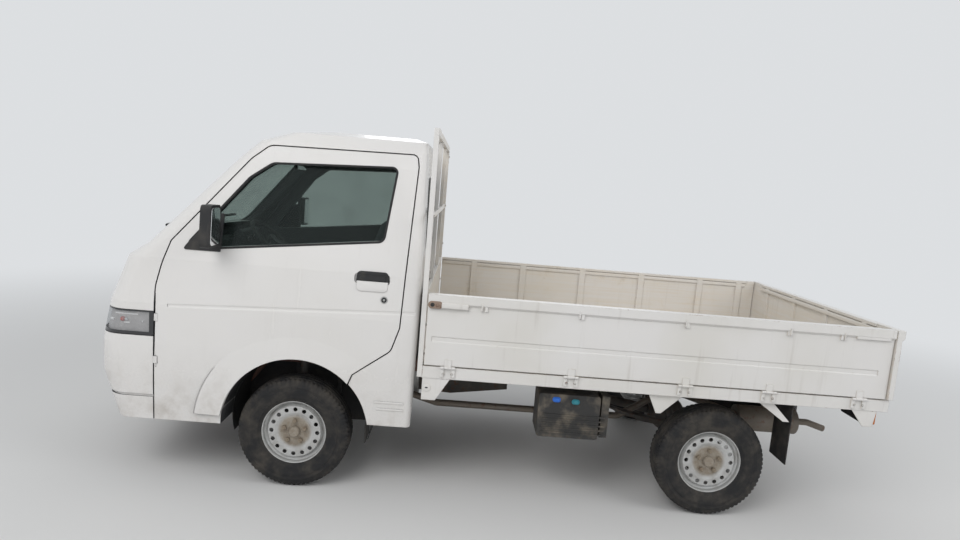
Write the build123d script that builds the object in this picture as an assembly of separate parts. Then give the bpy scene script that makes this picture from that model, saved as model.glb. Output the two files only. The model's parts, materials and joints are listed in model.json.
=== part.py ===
"""Small cab-over flat-deck truck, built in its own frame in millimetres.

While it is built, x runs rearwards from the front axle, y is positive to the truck's right and z is
the height above the ground. The last step moves every piece so that the origin lies on the ground
under the middle of the truck.
"""
from build123d import *
import os
from math import cos, radians, sin

os.makedirs("parts", exist_ok=True)

# Overall sizes
overall_length = 4195.0
front_overhang = 1110.0
wheelbase = 2205.0
bed_width = 1765.0
overall_height = 1910.0

# Clearances
panel_gap = 6.0
seat_gap = 0.3
pin_gap = 0.4

# Wheels
tyre_radius = 292.0
tyre_width = 165.0
bead_radius = 165.0
rim_flange_radius = 182.4
rim_width = 118.0
rim_metal = 4.0
disc_offset = 40.0
track_front = 1465.0
track_rear = 1460.0
wheel_hole_count = 16
wheel_hole_radius = 11.0
wheel_hole_circle = 120.0

# Cab
cab_half_width = 836.0
cab_rear_x = 608.0
cab_roof_z = 1868.0
cab_bottom_z = 320.0
sill_bottom_z = 372.0
cab_wall = 55.0
nose_wall = 42.0
grille_metal = 18.0
flare_radius = 515.0
flare_depth = 1.0
flare_proud = 9.0
crease_radius = 14.0
crease_depth = 3.0
crease_front = (-650.0, 926.0)
crease_rear = (700.0, 985.0)
roof_wall = 32.0
firewall_inset = 215.0
low_floor_z = 430.0
seat_floor_z = 745.0
floor_metal = 30.0
floor_step_x = -402.0
arch_radius = 378.0
arch_x = 5.0
arch_z = 320.0
arch_inner_y = 440.0
sill_width = 80.0
cab_rear_round = 30.0
windscreen_base_z = 1228.0
bumper_bottom_z = 318.0
bumper_top_z = 764.0
step_z = 440.0
step_height = 12.0
step_depth = 6.0
lamp_top_z = 892.0
lamp_inner_y = 480.0
lid_half_width = 560.0
lid_bottom_z = 905.0
lid_top_z = 1186.0
lid_hinge_x = -950.0
lid_hinge_radius = 5.0
lid_pin_radius = 2.5
lid_hinge_length = 96.0
LID_HINGE_PLACES = (-90.0, 90.0)
door_front_x = -712.0
door_edge_round = 8.0
door_hinge_x = door_front_x + door_edge_round
door_hinge_y = -(cab_half_width + 2.0 - door_edge_round)
door_edge_top_z = 985.0
door_pin_radius = 3.0
door_hinge_height = 40.0
door_knuckle_radius = 7.6
door_knuckle_room = 1.4
DOOR_HINGE_PLACES = (640.0, 860.0)
glass_metal = 5.0
door_glass_depth = 24.0
handle_x = 365.0
handle_z = 1136.0
handle_pocket_depth = 12.0

# Bed
bed_front_x = 650.0
gate_top_z = 1095.0
gate_bottom_z = 730.0
gate_metal = 26.0
gate_lip = 12.5
gate_lip_height = 42.0
bed_floor_z = 738.0
bed_floor_metal = 14.0
bed_rail_height = 62.0
bed_rail_metal = 30.0
hinge_z = 722.0
hinge_radius = 7.0
hinge_pin_radius = 3.5
hinge_length = 76.0
HINGE_PLACES = (778.0, 1408.0, 1997.0, 2432.0, 2903.0)
TAIL_HINGE_PLACES = (-640.0, 0.0, 640.0)
gate_groove_z = 865.0
gate_groove_height = 32.0
gate_groove_depth = 4.0
gate_rib_width = 44.0
gate_rib_proud = 11.0
tail_lip_half = 700.0
gate_lip_end = 60.0
GATE_RIB_PLACES = (880.0, 1250.0, 1700.0, 2150.0, 2600.0, 2900.0)
latch_length = 176.0
latch_height = 22.0
latch_z = 1048.0
LATCH_PLACES = (686.0, 2840.0)
TAB_PLACES = (942.0, 1429.0, 1964.0, 2483.0, 2757.0)
guard_bar_y = 330.0
guard_bar_width = 26.0
guard_post_width = 34.0
guard_depth = 26.0
guard_rail_z = 1480.0
floor_groove_width = 26.0
floor_groove_depth = 5.0
floor_groove_count = 13

# Frame
rail_half_gap = 330.0
rail_width = 60.0
rail_height = 100.0
rail_top_z = 655.0
rail_front_top_z = low_floor_z - floor_metal - seat_gap
tow_eye_radius = 14.0
tow_eye_x = -915.0
tow_eye_y = -250.0
tow_eye_z = 284.0
leaf_y = 360.0
exhaust_y = 490.0
damper_inner_y = 404.0
damper_radius = 19.0
spare_x = 2725.0
spare_z = 430.0
spare_rim_width = 100.0
spare_bar_z = 590.0
spare_bar_ends = (2440.0, 2960.0)

# Steering and suspension
kingpin_top = (0.0, 612.0, 668.0)
kingpin_foot = (0.0, 676.0, 200.0)
steering_centre = (-478.0, 370.0, 1165.0)
steering_tilt = 48.0
steering_rim_radius = 180.0

# Worked out from the sizes above
front_face_x = -front_overhang
tail_x = overall_length - front_overhang
bed_half = bed_width / 2
gate_outer_y = bed_half - gate_lip
gate_inner_y = gate_outer_y - gate_metal
hinge_y = bed_half - hinge_radius
tailgate_outer_x = tail_x - gate_lip
tailgate_inner_x = tailgate_outer_x - gate_metal
side_gate_front_x = bed_front_x + panel_gap
side_gate_rear_x = tailgate_inner_x - panel_gap
bed_rail_y = hinge_y - 11.0


def block(x0, x1, y0, y1, z0, z1):
    """Box between two corners."""
    middle = Pos((x0 + x1) / 2, (y0 + y1) / 2, (z0 + z1) / 2)
    return middle * Box(abs(x1 - x0), abs(y1 - y0), abs(z1 - z0))


def other_side(shape):
    """The same shape on the other side of the truck."""
    return mirror(shape, about=Plane.XZ)


def both(shape):
    """The shape and its mirror image."""
    return [shape, other_side(shape)]


def along_y(points, y0, y1, radius=0.0):
    """Side-view outline of (x, z) points, its corners rounded, filled from y0 to y1."""
    outline = FilletPolyline(*[(x, y0, z) for x, z in points], radius=radius, close=True)
    return extrude(make_face(outline), amount=y1 - y0, dir=(0, 1, 0))


def along_x(points, x0, x1, radius=0.0):
    """Front-view outline of (y, z) points filled from x0 to x1."""
    outline = FilletPolyline(*[(x0, y, z) for y, z in points], radius=radius, close=True)
    return extrude(make_face(outline), amount=x1 - x0, dir=(1, 0, 0))


def along_z(points, z0, z1, radius=0.0):
    """Plan outline of (x, y) points filled from z0 to z1."""
    outline = FilletPolyline(*[(x, y, z0) for x, y in points], radius=radius, close=True)
    return extrude(make_face(outline), amount=z1 - z0, dir=(0, 0, 1))


def rod(start, end, radius):
    """Round bar between two points."""
    axis = Vector(end) - Vector(start)
    return extrude(Plane(origin=start, z_dir=axis) * Circle(radius), amount=axis.length)


def tube_along(points, radius, bend):
    """Round bar along straight runs joined by arcs."""
    path = FilletPolyline(*points, radius=bend)
    start = Vector(*points[1]) - Vector(*points[0])
    return sweep(Plane(origin=points[0], z_dir=start) * Circle(radius), path=path)


def turned(profile, radius=0.0):
    """Solid of revolution about the y axis from (y, radius) points."""
    outline = FilletPolyline(*[(r, y, 0) for y, r in profile], radius=radius, close=True)
    return revolve(make_face(outline), axis=Axis.Y)


def cylinder_y(x, z, radius, y0, y1):
    """Round bar across the truck."""
    return rod((x, y0, z), (x, y1, z), radius)


# Sections of the cab from the sill to the roof. Columns: height, nose on the middle line, where the
# bow meets the side, inset of the side, inset of the rear wall, corner radius.
CAB_SECTIONS = [
    (cab_bottom_z, -1030.0, -900.0, 22.0, 6.0, 90.0),
    (560.0, -1108.0, -985.0, 6.0, 0.0, 130.0),
    (720.0, -1106.0, -985.0, 0.0, -2.0, 130.0),
    (930.0, -1062.0, -950.0, -2.0, -4.0, 130.0),
    (1160.0, -985.0, -868.0, 16.0, -2.0, 120.0),
    (windscreen_base_z, -900.0, -770.0, 30.0, 0.0, 90.0),
    (1700.0, -440.0, -360.0, 138.0, 14.0, 80.0),
    (1790.0, -345.0, -270.0, 168.0, 18.0, 80.0),
    (1845.0, -190.0, -120.0, 208.0, 26.0, 80.0),
    (cab_roof_z, 0.0, 40.0, 330.0, 90.0, 80.0),
]


def cab_half_at(height):
    """Half of the cab's outer width at a height."""
    for low, high in zip(CAB_SECTIONS, CAB_SECTIONS[1:]):
        if low[0] <= height <= high[0]:
            share = (height - low[0]) / (high[0] - low[0])
            return cab_half_width - low[3] - share * (high[3] - low[3])
    return cab_half_width


def cab_section(z, nose, corner, half, rear, front_round):
    """Plan section of the cab: a bowed front, straight sides and a straight rear."""
    bow = ThreePointArc((corner, -half, z), (nose, 0, z), (corner, half, z))
    sides = Polyline((corner, half, z), (rear, half, z), (rear, -half, z), (corner, -half, z))
    face = make_face([*bow.edges(), *sides.edges()])
    face = fillet(face.vertices().sort_by(Axis.X)[:2], radius=front_round)
    return fillet(face.vertices().sort_by(Axis.X)[-2:], radius=cab_rear_round)


def cab_loft(wall=0.0, low_front=0.0, roof=0.0):
    """The cab as one solid, with its walls moved in by the given amounts."""
    faces = []
    for z, nose, corner, side_in, rear_in, front_round in CAB_SECTIONS:
        front = low_front if z < windscreen_base_z else wall
        lower = roof if z > windscreen_base_z else 0.0
        faces.append(cab_section(
            z - lower, nose + front, corner + front, cab_half_width - side_in - wall,
            cab_rear_x - rear_in - wall, front_round))
    return loft(faces, ruled=True)


handle_skin_y = -cab_half_at(handle_z)

# Side-view outlines as (x, z) points
DOOR_OUTLINE = [
    (door_front_x, cab_bottom_z - 40), (door_front_x, 1020.0), (-688.0, 1130.0), (-652.0, 1250.0),
    (-300.0, 1690.0), (-215.0, 1764.0), (536.0, 1776.0), (547.0, 1715.0), (516.0, 900.0),
    (478.0, 778.0), (290.0, 640.0), (150.0, cab_bottom_z - 40),
]
DOOR_ROUNDS = [0, 200, 200, 0, 110, 60, 28, 0, 60, 60, 0, 0]
WINDOW_OUTLINE = [
    (-588.0, 1216.0), (-296.0, 1592.0), (-190.0, 1672.0), (440.0, 1700.0), (400.0, 1330.0),
]
WINDOW_ROUNDS = [22, 60, 60, 22, 30]
WINDSCREEN_HALF_BASE = 668.0
WINDSCREEN_HALF_TOP = 548.0
WINDSCREEN_TOP_Z = 1742.0
WINDSCREEN_FOOT_Z = 1268.0


def door_prism(gap=0.0):
    """The door's side-view outline through the left wall of the cab, grown by the gap."""
    face = make_face(FilletPolyline(*[(x, -1000, z) for x, z in DOOR_OUTLINE],
                                    radius=DOOR_ROUNDS, close=True))
    if gap:
        face = offset(face, amount=gap).face()
    return extrude(face, amount=390, dir=(0, 1, 0))


def window_prism(gap=0.0):
    """The side window's outline through the left door, drawn in by the gap."""
    face = make_face(FilletPolyline(*[(x, -1000, z) for x, z in WINDOW_OUTLINE],
                                    radius=WINDOW_ROUNDS, close=True))
    if gap:
        face = offset(face, amount=-gap).face()
    return extrude(face, amount=500, dir=(0, 1, 0))


def windscreen_prism(gap=0.0):
    """The windscreen's front-view outline."""
    points = [
        (-WINDSCREEN_HALF_BASE + gap, WINDSCREEN_FOOT_Z + gap),
        (WINDSCREEN_HALF_BASE - gap, WINDSCREEN_FOOT_Z + gap),
        (WINDSCREEN_HALF_TOP - gap, WINDSCREEN_TOP_Z - gap),
        (-WINDSCREEN_HALF_TOP + gap, WINDSCREEN_TOP_Z - gap),
    ]
    return along_x(points, -1200, -100, 50.0)


def rear_window_prism(gap=0.0):
    """The rear window's outline."""
    points = [(-560 + gap, 1290 + gap), (560 - gap, 1290 + gap),
              (520 - gap, 1650 - gap), (-520 + gap, 1650 - gap)]
    return along_x(points, 400, 800, 45.0)


def arch_flare():
    """Shallow cone that swells the side of the cab round the left front wheel."""
    cone = turned([(-cab_half_width + flare_depth, 0), (-cab_half_width + flare_depth, flare_radius),
                   (-cab_half_width - flare_proud, arch_radius - 10), (-cab_half_width - flare_proud, 0)])
    return Pos(arch_x, 0, arch_z) * cone & block(-900, 900, -1000, 0, sill_bottom_z, 1000)


def side_crease():
    """Shallow groove pressed into the left side of the cab below the window."""
    ends = [(x, -cab_half_at(z) - crease_radius, z) for x, z in (crease_front, crease_rear)]
    return rod(ends[0], ends[1], crease_radius + crease_depth)


cab_outer = cab_loft() + both(arch_flare()) - both(side_crease())
cab_inner = cab_loft(cab_wall, firewall_inset, roof_wall)
door_inner = cab_loft(cab_wall - panel_gap, cab_wall - panel_gap, roof_wall)
nose_inner = cab_loft(nose_wall, nose_wall, roof_wall)
nose_room = cab_loft(nose_wall + seat_gap, nose_wall + seat_gap, roof_wall)
arch = cylinder_y(arch_x, arch_z, arch_radius, -1000, -arch_inner_y)


def nose_zone(z0, z1, rear=door_front_x - panel_gap):
    """Block in front of the doors between two heights."""
    return block(-1300, rear, -1000, 1000, z0, z1)


lamp_zone = [
    block(-1300, door_front_x - panel_gap, lamp_inner_y, 1000, bumper_top_z, lamp_top_z),
    block(-1300, door_front_x - panel_gap, -1000, -lamp_inner_y, bumper_top_z, lamp_top_z),
]


def cab_shell():
    """Hollow cab with its doorways, windows, wheel arches, low floor and seat platform."""
    floors = [
        block(-1200, floor_step_x, -900, 900, 300, low_floor_z),
        block(floor_step_x, 800, -900, 900, 300, seat_floor_z),
    ]
    cavity = cab_inner - floors
    doorway = door_prism(panel_gap) - cab_inner
    shell = cab_outer - cavity - both(doorway) - both(arch)
    shell -= windscreen_prism()
    shell -= rear_window_prism()
    # Underside: open between the sills and over the engine
    half = cab_half_width - cab_wall - sill_width
    under_step = floor_step_x + floor_metal
    shell -= block(-1200, floor_step_x, -half, half, 300, low_floor_z - floor_metal)
    shell -= block(under_step, 800, -arch_inner_y, arch_inner_y, 300, seat_floor_z - floor_metal)
    corner = block(arch_x + arch_radius + 20, 800, arch_inner_y, cab_half_width - cab_wall,
                   300, seat_floor_z - floor_metal)
    shell -= both(corner)
    shell -= block(arch_x, 800, -1000, 1000, 0, sill_bottom_z)
    # Nose: the bay behind the bumper, and the places of bumper, lamps and lid
    firewall = cab_loft(cab_wall / 2, firewall_inset - floor_metal, 0.0)
    shell -= (nose_inner & block(-1200, door_front_x, -900, 900, 300, lid_top_z - 12)) - firewall
    slot = block(floor_step_x - 45, under_step + 5, rail_half_gap - 8, rail_half_gap + rail_width + 8,
                 300, rail_top_z)
    shell -= both(slot)
    shell -= nose_zone(0, bumper_top_z) - nose_room
    shell -= [zone - nose_room for zone in lamp_zone]
    lid_place = along_x([(-lid_half_width - 30, lid_bottom_z), (lid_half_width + 30, lid_bottom_z),
                         (lid_half_width, lid_top_z), (-lid_half_width, lid_top_z)], -1200, -700, 30)
    shell -= lid_place - nose_inner
    for y in LID_HINGE_PLACES:
        half = lid_hinge_length / 2
        shell -= cylinder_y(lid_hinge_x, lid_top_z, lid_hinge_radius + 1, y - half - 1, y + half + 1)
        shell += cylinder_y(lid_hinge_x, lid_top_z, lid_pin_radius, y - half - 10, y + half + 10)
    shell = largest(shell)
    for z in DOOR_HINGE_PLACES:
        shell += both(door_hinge_finger(z))
    return shell


def door_hinge_finger(z):
    """Plate on the bulkhead's edge with the middle knuckle and the pin of a left door hinge."""
    half = door_hinge_height / 2 - 1
    x, y = door_hinge_x, door_hinge_y
    front = door_front_x - panel_gap + 0.7
    plate = block(front, front + 4, y - 5, y + 70, z - half, z + half)
    plate += block(front - 7, front + 4, y + 45, y + 70, z - half, z + half)
    plate += block(front, x, y - 5, y + 5, z - half, z + half)
    plate += rod((x, y, z - half), (x, y, z + half), door_knuckle_radius)
    return plate + rod((x, y, z - half - 16), (x, y, z + half + 16), door_pin_radius)


def largest(shape):
    """The biggest solid of a shape."""
    return shape.solids().sort_by(SortBy.VOLUME)[-1]


def front_bumper():
    """Wrap-round bumper with its lower air opening and two side recesses."""
    zone = nose_zone(bumper_bottom_z, bumper_top_z - 3, door_front_x - panel_gap - seat_gap)
    bumper = (cab_outer & zone) - nose_inner
    bumper -= nose_zone(step_z, step_z + step_height) - cab_loft(step_depth, step_depth)
    bumper -= along_x([(-330, 470), (330, 470), (360, 610), (-360, 610)], -1300, -900, 25)
    bumper -= both(along_x([(-700, 385), (-560, 385), (-560, 470), (-700, 470)], -1300, -900, 20))
    return largest(bumper)


def front_grille():
    """Bowed insert with slots behind the bumper's air opening."""
    band = nose_room & block(-1200, -900, -385, 385, 458, 622)
    band -= cab_loft(nose_wall + grille_metal, nose_wall + grille_metal, roof_wall)
    for z in range(474, 600, 26):
        for y in (-282, -94, 94, 282):
            band -= block(-1200, -900, y - 84, y + 84, z, z + 15)
    return largest(band)


def headlamps():
    """Two lens blocks that close the corners of the nose."""
    zone = block(-1300, door_front_x - panel_gap - seat_gap, lamp_inner_y + 2, 1000,
                 bumper_top_z + 1, lamp_top_z - 2)
    lamp = (cab_outer & zone) - nose_inner
    return both(largest(lamp))


def front_lid():
    """Service lid under the windscreen."""
    gap = panel_gap
    outline = [(-lid_half_width - 30 + gap, lid_bottom_z + gap),
               (lid_half_width + 30 - gap, lid_bottom_z + gap),
               (lid_half_width - gap, lid_top_z - gap), (-lid_half_width + gap, lid_top_z - gap)]
    place = along_x(outline, -1200, -700, 26)
    lid = largest((cab_outer & place) - cab_loft(nose_wall - 14, nose_wall - 14, roof_wall))
    half = lid_hinge_length / 2
    for y in LID_HINGE_PLACES:
        lid += cylinder_y(lid_hinge_x, lid_top_z, lid_hinge_radius, y - half, y + half)
        lid += block(lid_hinge_x - 3, lid_hinge_x + 3, y - half, y + half, lid_top_z - gap - 6, lid_top_z)
        lid -= cylinder_y(lid_hinge_x, lid_top_z, lid_pin_radius + pin_gap, y - half - 1, y + half + 1)
    return lid


def door():
    """Left door: skin, inner panel and window frame in one."""
    panel = (cab_outer & door_prism()) - door_inner - arch - window_prism()
    x, y = door_hinge_x, door_hinge_y
    edge = block(door_front_x - 1, x, -900, y, 0, door_edge_top_z)
    panel -= edge - rod((x, y, -10), (x, y, 1000), door_edge_round)
    half = door_hinge_height / 2
    for z in DOOR_HINGE_PLACES:
        panel -= block(door_front_x - 1, x, -900, y + 6, z - half, z + half)
        panel -= rod((x, y, z - half), (x, y, z + half), door_knuckle_radius + door_knuckle_room)
        panel -= rod((x, y, z - half - 17), (x, y, z + half + 17), door_pin_radius + pin_gap)
    pocket = block(handle_x - 92, handle_x + 88, -900, handle_skin_y + handle_pocket_depth,
                   handle_z - 26, handle_z + 30)
    panel -= fillet(pocket.edges().filter_by(Axis.Y), radius=22)
    return largest(panel)


def door_glass():
    """Left door's flat glass, set in the window frame parallel to the upper side of the cab."""
    low_z, high_z = windscreen_base_z, 1700.0
    low_y = -(cab_half_width - 30.0) + door_glass_depth
    high_y = -(cab_half_width - 138.0) + door_glass_depth
    lean = (high_y - low_y) / (high_z - low_z)
    edge = [(low_y + lean * (z - low_z), z) for z in (1180.0, 1740.0)]
    slab = along_x([edge[0], edge[1], (edge[1][0] + glass_metal, edge[1][1]),
                    (edge[0][0] + glass_metal, edge[0][1])], -800, 600)
    return largest(slab & window_prism(seat_gap))


def windscreen():
    """Bowed windscreen, set in its frame."""
    pane = (Pos(10, 0, 0) * cab_outer) & windscreen_prism(seat_gap)
    return largest(pane - Pos(10 + glass_metal + 4, 0, 0) * cab_outer)


def rear_window():
    """Flat rear window."""
    pane = (Pos(-20, 0, 0) * cab_outer) & rear_window_prism(seat_gap)
    return largest(pane - Pos(-20 - glass_metal, 0, 0) * cab_outer)


def door_fittings():
    """Left door's black pieces: handle, corner cover and mirror on its arm."""
    cover_x = -560.0
    cover = along_y([(cover_x + 4, 1240), (cover_x + 26, 1262), (cover_x + 130, 1392),
                     (cover_x + 150, 1392), (cover_x + 150, 1240)], -1000, -500)
    cover = (Pos(0, -5, 0) * cab_outer & cover) - Pos(0, 20, 0) * cab_outer
    arm = along_z([(-470, -770), (-430, -770), (-400, -880), (-440, -880)], 1300, 1330)
    case = along_x([(-990, 1245), (-845, 1250), (-850, 1452), (-982, 1452)], -445, -395, 25)
    y = handle_skin_y
    grip = along_z([(handle_x - 80, y + 4), (handle_x - 64, y - 9), (handle_x + 64, y - 9),
                    (handle_x + 80, y + 4)], handle_z - 4, handle_z + 22)
    feet = [block(x - 9, x + 9, y - 4, y + handle_pocket_depth - seat_gap, handle_z - 2, handle_z + 20)
            for x in (handle_x - 60, handle_x + 60)]
    return [largest(cover + arm + case), grip + feet[0] + feet[1]]


def seats():
    """Two seats, each a cushion and a back."""
    cushion = along_y([(-330, seat_floor_z + seat_gap), (190, seat_floor_z + seat_gap), (190, 875),
                       (-300, 915), (-330, 890)], -640, -140)
    back = along_y([(192, seat_floor_z + seat_gap), (320, seat_floor_z + seat_gap), (350, 900),
                    (470, 1450), (380, 1460), (250, 1080), (192, 900)], -630, -150)
    back += along_y([(400, 1496), (472, 1488), (490, 1640), (430, 1650)], -500, -280)
    for y in (-445, -335):
        back += rod((420, y, 1440), (440, y, 1510), 6)
    return both(cushion) + both(back)


def dashboard():
    """Dashboard across the cab with the instrument hood and the steering column."""
    profile = [(-925, 800), (-925, 1120), (-800, 1190), (-690, 1180), (-640, 1120), (-640, 900), (-700, 800)]
    room = cab_loft(cab_wall + seat_gap, firewall_inset + seat_gap, roof_wall)
    board = largest(along_y(profile, -730, 730) & room)
    x, y, z = steering_centre
    hood = along_y([(-760, 1150), (-660, 1240), (-620, 1230), (-640, 1120)], y - 170, y + 170, 12)
    down = Vector(-cos(radians(steering_tilt)), 0, -sin(radians(steering_tilt)))
    top = Vector(x, y, z) + down * 40
    foot = Vector(x, y, z) + down * 300
    column = rod(top, foot, 34)
    return largest((board + hood + column) & room)


def steering_wheel():
    """Rim, three spokes and hub, lying on the column's axis."""
    rim = Torus(steering_rim_radius, 14)
    hub = Cylinder(46, 40)
    wheel = rim + hub
    for angle in (-15, 195, 270):
        spoke = Rot(0, 0, angle) * Pos(steering_rim_radius / 2, 0, 0) * Box(steering_rim_radius, 34, 12)
        wheel += spoke
    stalk = Pos(0, 0, -29.8) * Cylinder(20, 19.6)
    wheel += stalk
    plane = Plane(origin=steering_centre, x_dir=(0, 1, 0),
                  z_dir=(cos(radians(steering_tilt)), 0, sin(radians(steering_tilt))))
    return plane * wheel


def engine():
    """Engine as one plain block under the seats."""
    body = fillet(block(60, 600, -190, 190, 330, 690).edges().filter_by(Axis.X), radius=40)
    reach = rail_half_gap - seat_gap
    return body + block(300, 360, -reach, reach, 575, 610)


def driveline():
    """Gearbox behind the engine and the propeller shaft to the rear axle."""
    box = along_y([(600 + seat_gap, 360), (600 + seat_gap, 600), (700, 590), (1150, 540), (1150, 400),
                   (800, 350)], -110, 110)
    shaft = rod((1145, 0, 470), (wheelbase - 129, 0, tyre_radius + 18), 28)
    return box + shaft


def radiator():
    """Radiator behind the grille."""
    return block(-970, -930, -270, 270, rail_front_top_z + seat_gap, 720)


def chassis_frame():
    """Two rails that rise behind the front axle, tied by cross members."""
    low = rail_front_top_z
    rail_side = [(-945, low), (-945, low - 90), (-440, low - 90), (-250, rail_top_z - rail_height),
                 (3020, rail_top_z - rail_height), (3020, rail_top_z), (-270, rail_top_z), (-430, low)]
    rail = along_y(rail_side, rail_half_gap, rail_half_gap + rail_width)
    frame = rail + other_side(rail)
    y = rail_half_gap + 10
    for x0, x1, z0, z1 in [(-945, -885, low - 80, low), (-500, -440, low - 85, low - 15),
                           (650, 700, 655 - 50, 655), (1500, 1560, 575, 640), (2380, 2440, 585, 640),
                           (2960, 3015, 575, 640)]:
        frame += block(x0, x1, -y, y, z0, z1)
    eye = block(tow_eye_x - 28, tow_eye_x + 28, tow_eye_y - 7, tow_eye_y + 7, tow_eye_z - 28, low - 75)
    frame += eye - cylinder_y(tow_eye_x, tow_eye_z, tow_eye_radius, tow_eye_y - 20, tow_eye_y + 20)
    # Outriggers that carry the cab under its low floor and under the seat platform
    for x, z in [(-700, low), (480, rail_top_z)]:
        arm = block(x - 40, x + 40, rail_half_gap + rail_width - 5, 600, z - 60, z)
        frame += both(arm)
    post = rod((480, 560, rail_top_z - 5), (480, 560, seat_floor_z - floor_metal - seat_gap), 28)
    frame += both(post)
    return frame


def tyre():
    """Tyre about the y axis, centred on its middle plane."""
    half = tyre_width / 2
    bead_y = rim_width / 2 - rim_metal - 3.0
    tread_y = 62.0
    side = ThreePointArc((rim_flange_radius + 1.5, bead_y, 0), (tyre_radius - 58, half, 0),
                         (tyre_radius - 9, tread_y + 6, 0))
    tread = ThreePointArc((tyre_radius - 3, tread_y, 0), (tyre_radius, 0, 0), (tyre_radius - 3, -tread_y, 0))
    lines = [
        Line((bead_radius + seat_gap, bead_y - 5, 0), (bead_radius + 5, bead_y - 0.5, 0)),
        Line((bead_radius + 5, bead_y - 0.5, 0), (rim_flange_radius + 1.5, bead_y, 0)), side,
        Line((tyre_radius - 9, tread_y + 6, 0), (tyre_radius - 3, tread_y, 0)), tread,
        Line((tyre_radius - 3, -tread_y, 0), (tyre_radius - 9, -tread_y - 6, 0)),
        ThreePointArc((tyre_radius - 9, -tread_y - 6, 0), (tyre_radius - 58, -half, 0),
                      (rim_flange_radius + 1.5, -bead_y, 0)),
        Line((rim_flange_radius + 1.5, -bead_y, 0), (bead_radius + 5, -bead_y + 0.5, 0)),
        Line((bead_radius + 5, -bead_y + 0.5, 0), (bead_radius + seat_gap, -bead_y + 5, 0)),
        Line((bead_radius + seat_gap, -bead_y + 5, 0), (bead_radius + seat_gap, bead_y - 5, 0)),
    ]
    return revolve(make_face([edge for line in lines for edge in line.edges()]), axis=Axis.Y)


def rim(drum_radius, drum_inner_y):
    """Pressed steel wheel with its hub and brake, outer side towards -y, centred on its middle plane."""
    half = rim_width / 2
    metal = rim_metal
    bead = bead_radius
    well = bead - 13
    barrel = turned([
        (-half, rim_flange_radius), (-half + metal, rim_flange_radius), (-half + metal + 2, bead + 3),
        (-half + 11, bead), (-30, bead), (-22, well), (12, well), (20, bead), (half - 11, bead),
        (half - metal - 2, bead + 3), (half - metal, rim_flange_radius), (half, rim_flange_radius),
        (half, rim_flange_radius - metal), (half - 2, bead - 1), (half - 9, bead - metal),
        (22, bead - metal), (14, well - metal), (-24, well - metal), (-32, bead - metal),
        (-half + 9, bead - metal), (-half + 2, bead - 1), (-half, rim_flange_radius - metal)])
    out = -disc_offset
    disc = turned([
        (-16, well - 2), (-34, 144), (out - 6, 137), (out - 6, 102), (out, 84), (out, 20),
        (out + metal, 20), (out + metal, 86), (out - 2, 104), (out - 2, 134), (-31, 140), (-12, well - 2)])
    drum = turned([(out + metal - 1, 0), (out + metal - 1, 62), (out + 14, 70), (out + 18, drum_radius),
                   (drum_inner_y, drum_radius), (drum_inner_y, 0)])
    cap = turned([(out - 22, 0), (out - 22, 24), (out - 14, 30), (out + 2, 31), (out + 2, 0)])
    wheel = barrel + disc + drum + cap
    holes = []
    for i in range(wheel_hole_count):
        angle = radians(360 / wheel_hole_count * i)
        x = wheel_hole_circle * sin(angle)
        z = wheel_hole_circle * cos(angle)
        holes.append(cylinder_y(x, z, wheel_hole_radius, -80, out + 15))
    return wheel - holes


def knuckle():
    """Left steering knuckle on the kingpin line, with strut, hub carrier and caliper."""
    top = Vector(0, -kingpin_top[1], kingpin_top[2])
    foot = Vector(0, -kingpin_foot[1], kingpin_foot[2])
    up = (top - foot).normalized()
    crown = rod((top - up * 22), (top - up * seat_gap), 30)
    strut = rod((0, -kingpin_top[1], kingpin_top[2] - 24), (0, -600, 380), 22)
    lug = rod(foot, (foot + up * 26), 20)
    upright = along_x([(-598, 420), (-575, 420), (-575, 370), (-640, 300), (-655, 215), (-694, 215),
                       (-690, 330), (-640, 420)], -24, 24)
    carrier = cylinder_y(0, tyre_radius, 46, -695, -640)
    arm = block(20, 130, -665, -645, 275, 300)
    return crown + strut + lug + upright + carrier + arm


def front_suspension():
    """Lower arms with ball joints, strut mounts, steering rack and cross member."""
    top = Vector(0, -kingpin_top[1], kingpin_top[2])
    foot = Vector(0, -kingpin_foot[1], kingpin_foot[2])
    up = (top - foot).normalized()
    ball = rod((foot - up * 20), (foot - up * seat_gap), 17)
    arm = along_z([(-18, -690), (18, -690), (60, -450), (170, -370), (150, -335), (0, -400), (-70, -335),
                   (-100, -370), (-50, -460)], 168, 190)
    for x in (-85.0, 155.0):
        arm += along_x([(-372, 170), (-340, 170), (-340, 420), (-365, rail_top_z - rail_height - seat_gap),
                        (-385, rail_top_z - rail_height - seat_gap), (-372, 420)], x - 14, x + 14)
    mount = rod(top, top + up * 60, 46) & cylinder_y(arch_x, arch_z, arch_radius - seat_gap, -1000, -300)
    return both(largest(ball + arm)) + both(mount)


def battery_box():
    """Battery and tool box hung beside the left rail."""
    box = fillet(block(1266, 1590, -800, -610, 372, 606).edges().filter_by(Axis.Y), radius=14)
    plate = block(1600, 1640, -790, -leaf_y - 40, 385, 610)
    arms = block(1280, 1560, -612, -rail_half_gap - rail_width - seat_gap, 580, 606)
    return box + arms + plate + block(1585, 1605, -700, -620, 400, 600)


def fuel_tank():
    """Fuel tank beside the right rail with its two straps."""
    y0 = rail_half_gap + rail_width + seat_gap
    tank = fillet(block(820, 1500, y0 + 20, 780, 372, 620).edges().filter_by(Axis.X), radius=45)
    straps = [block(x, x + 40, y0, 700, 600, 634) for x in (920, 1360)]
    return tank + straps[0] + straps[1]


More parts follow.
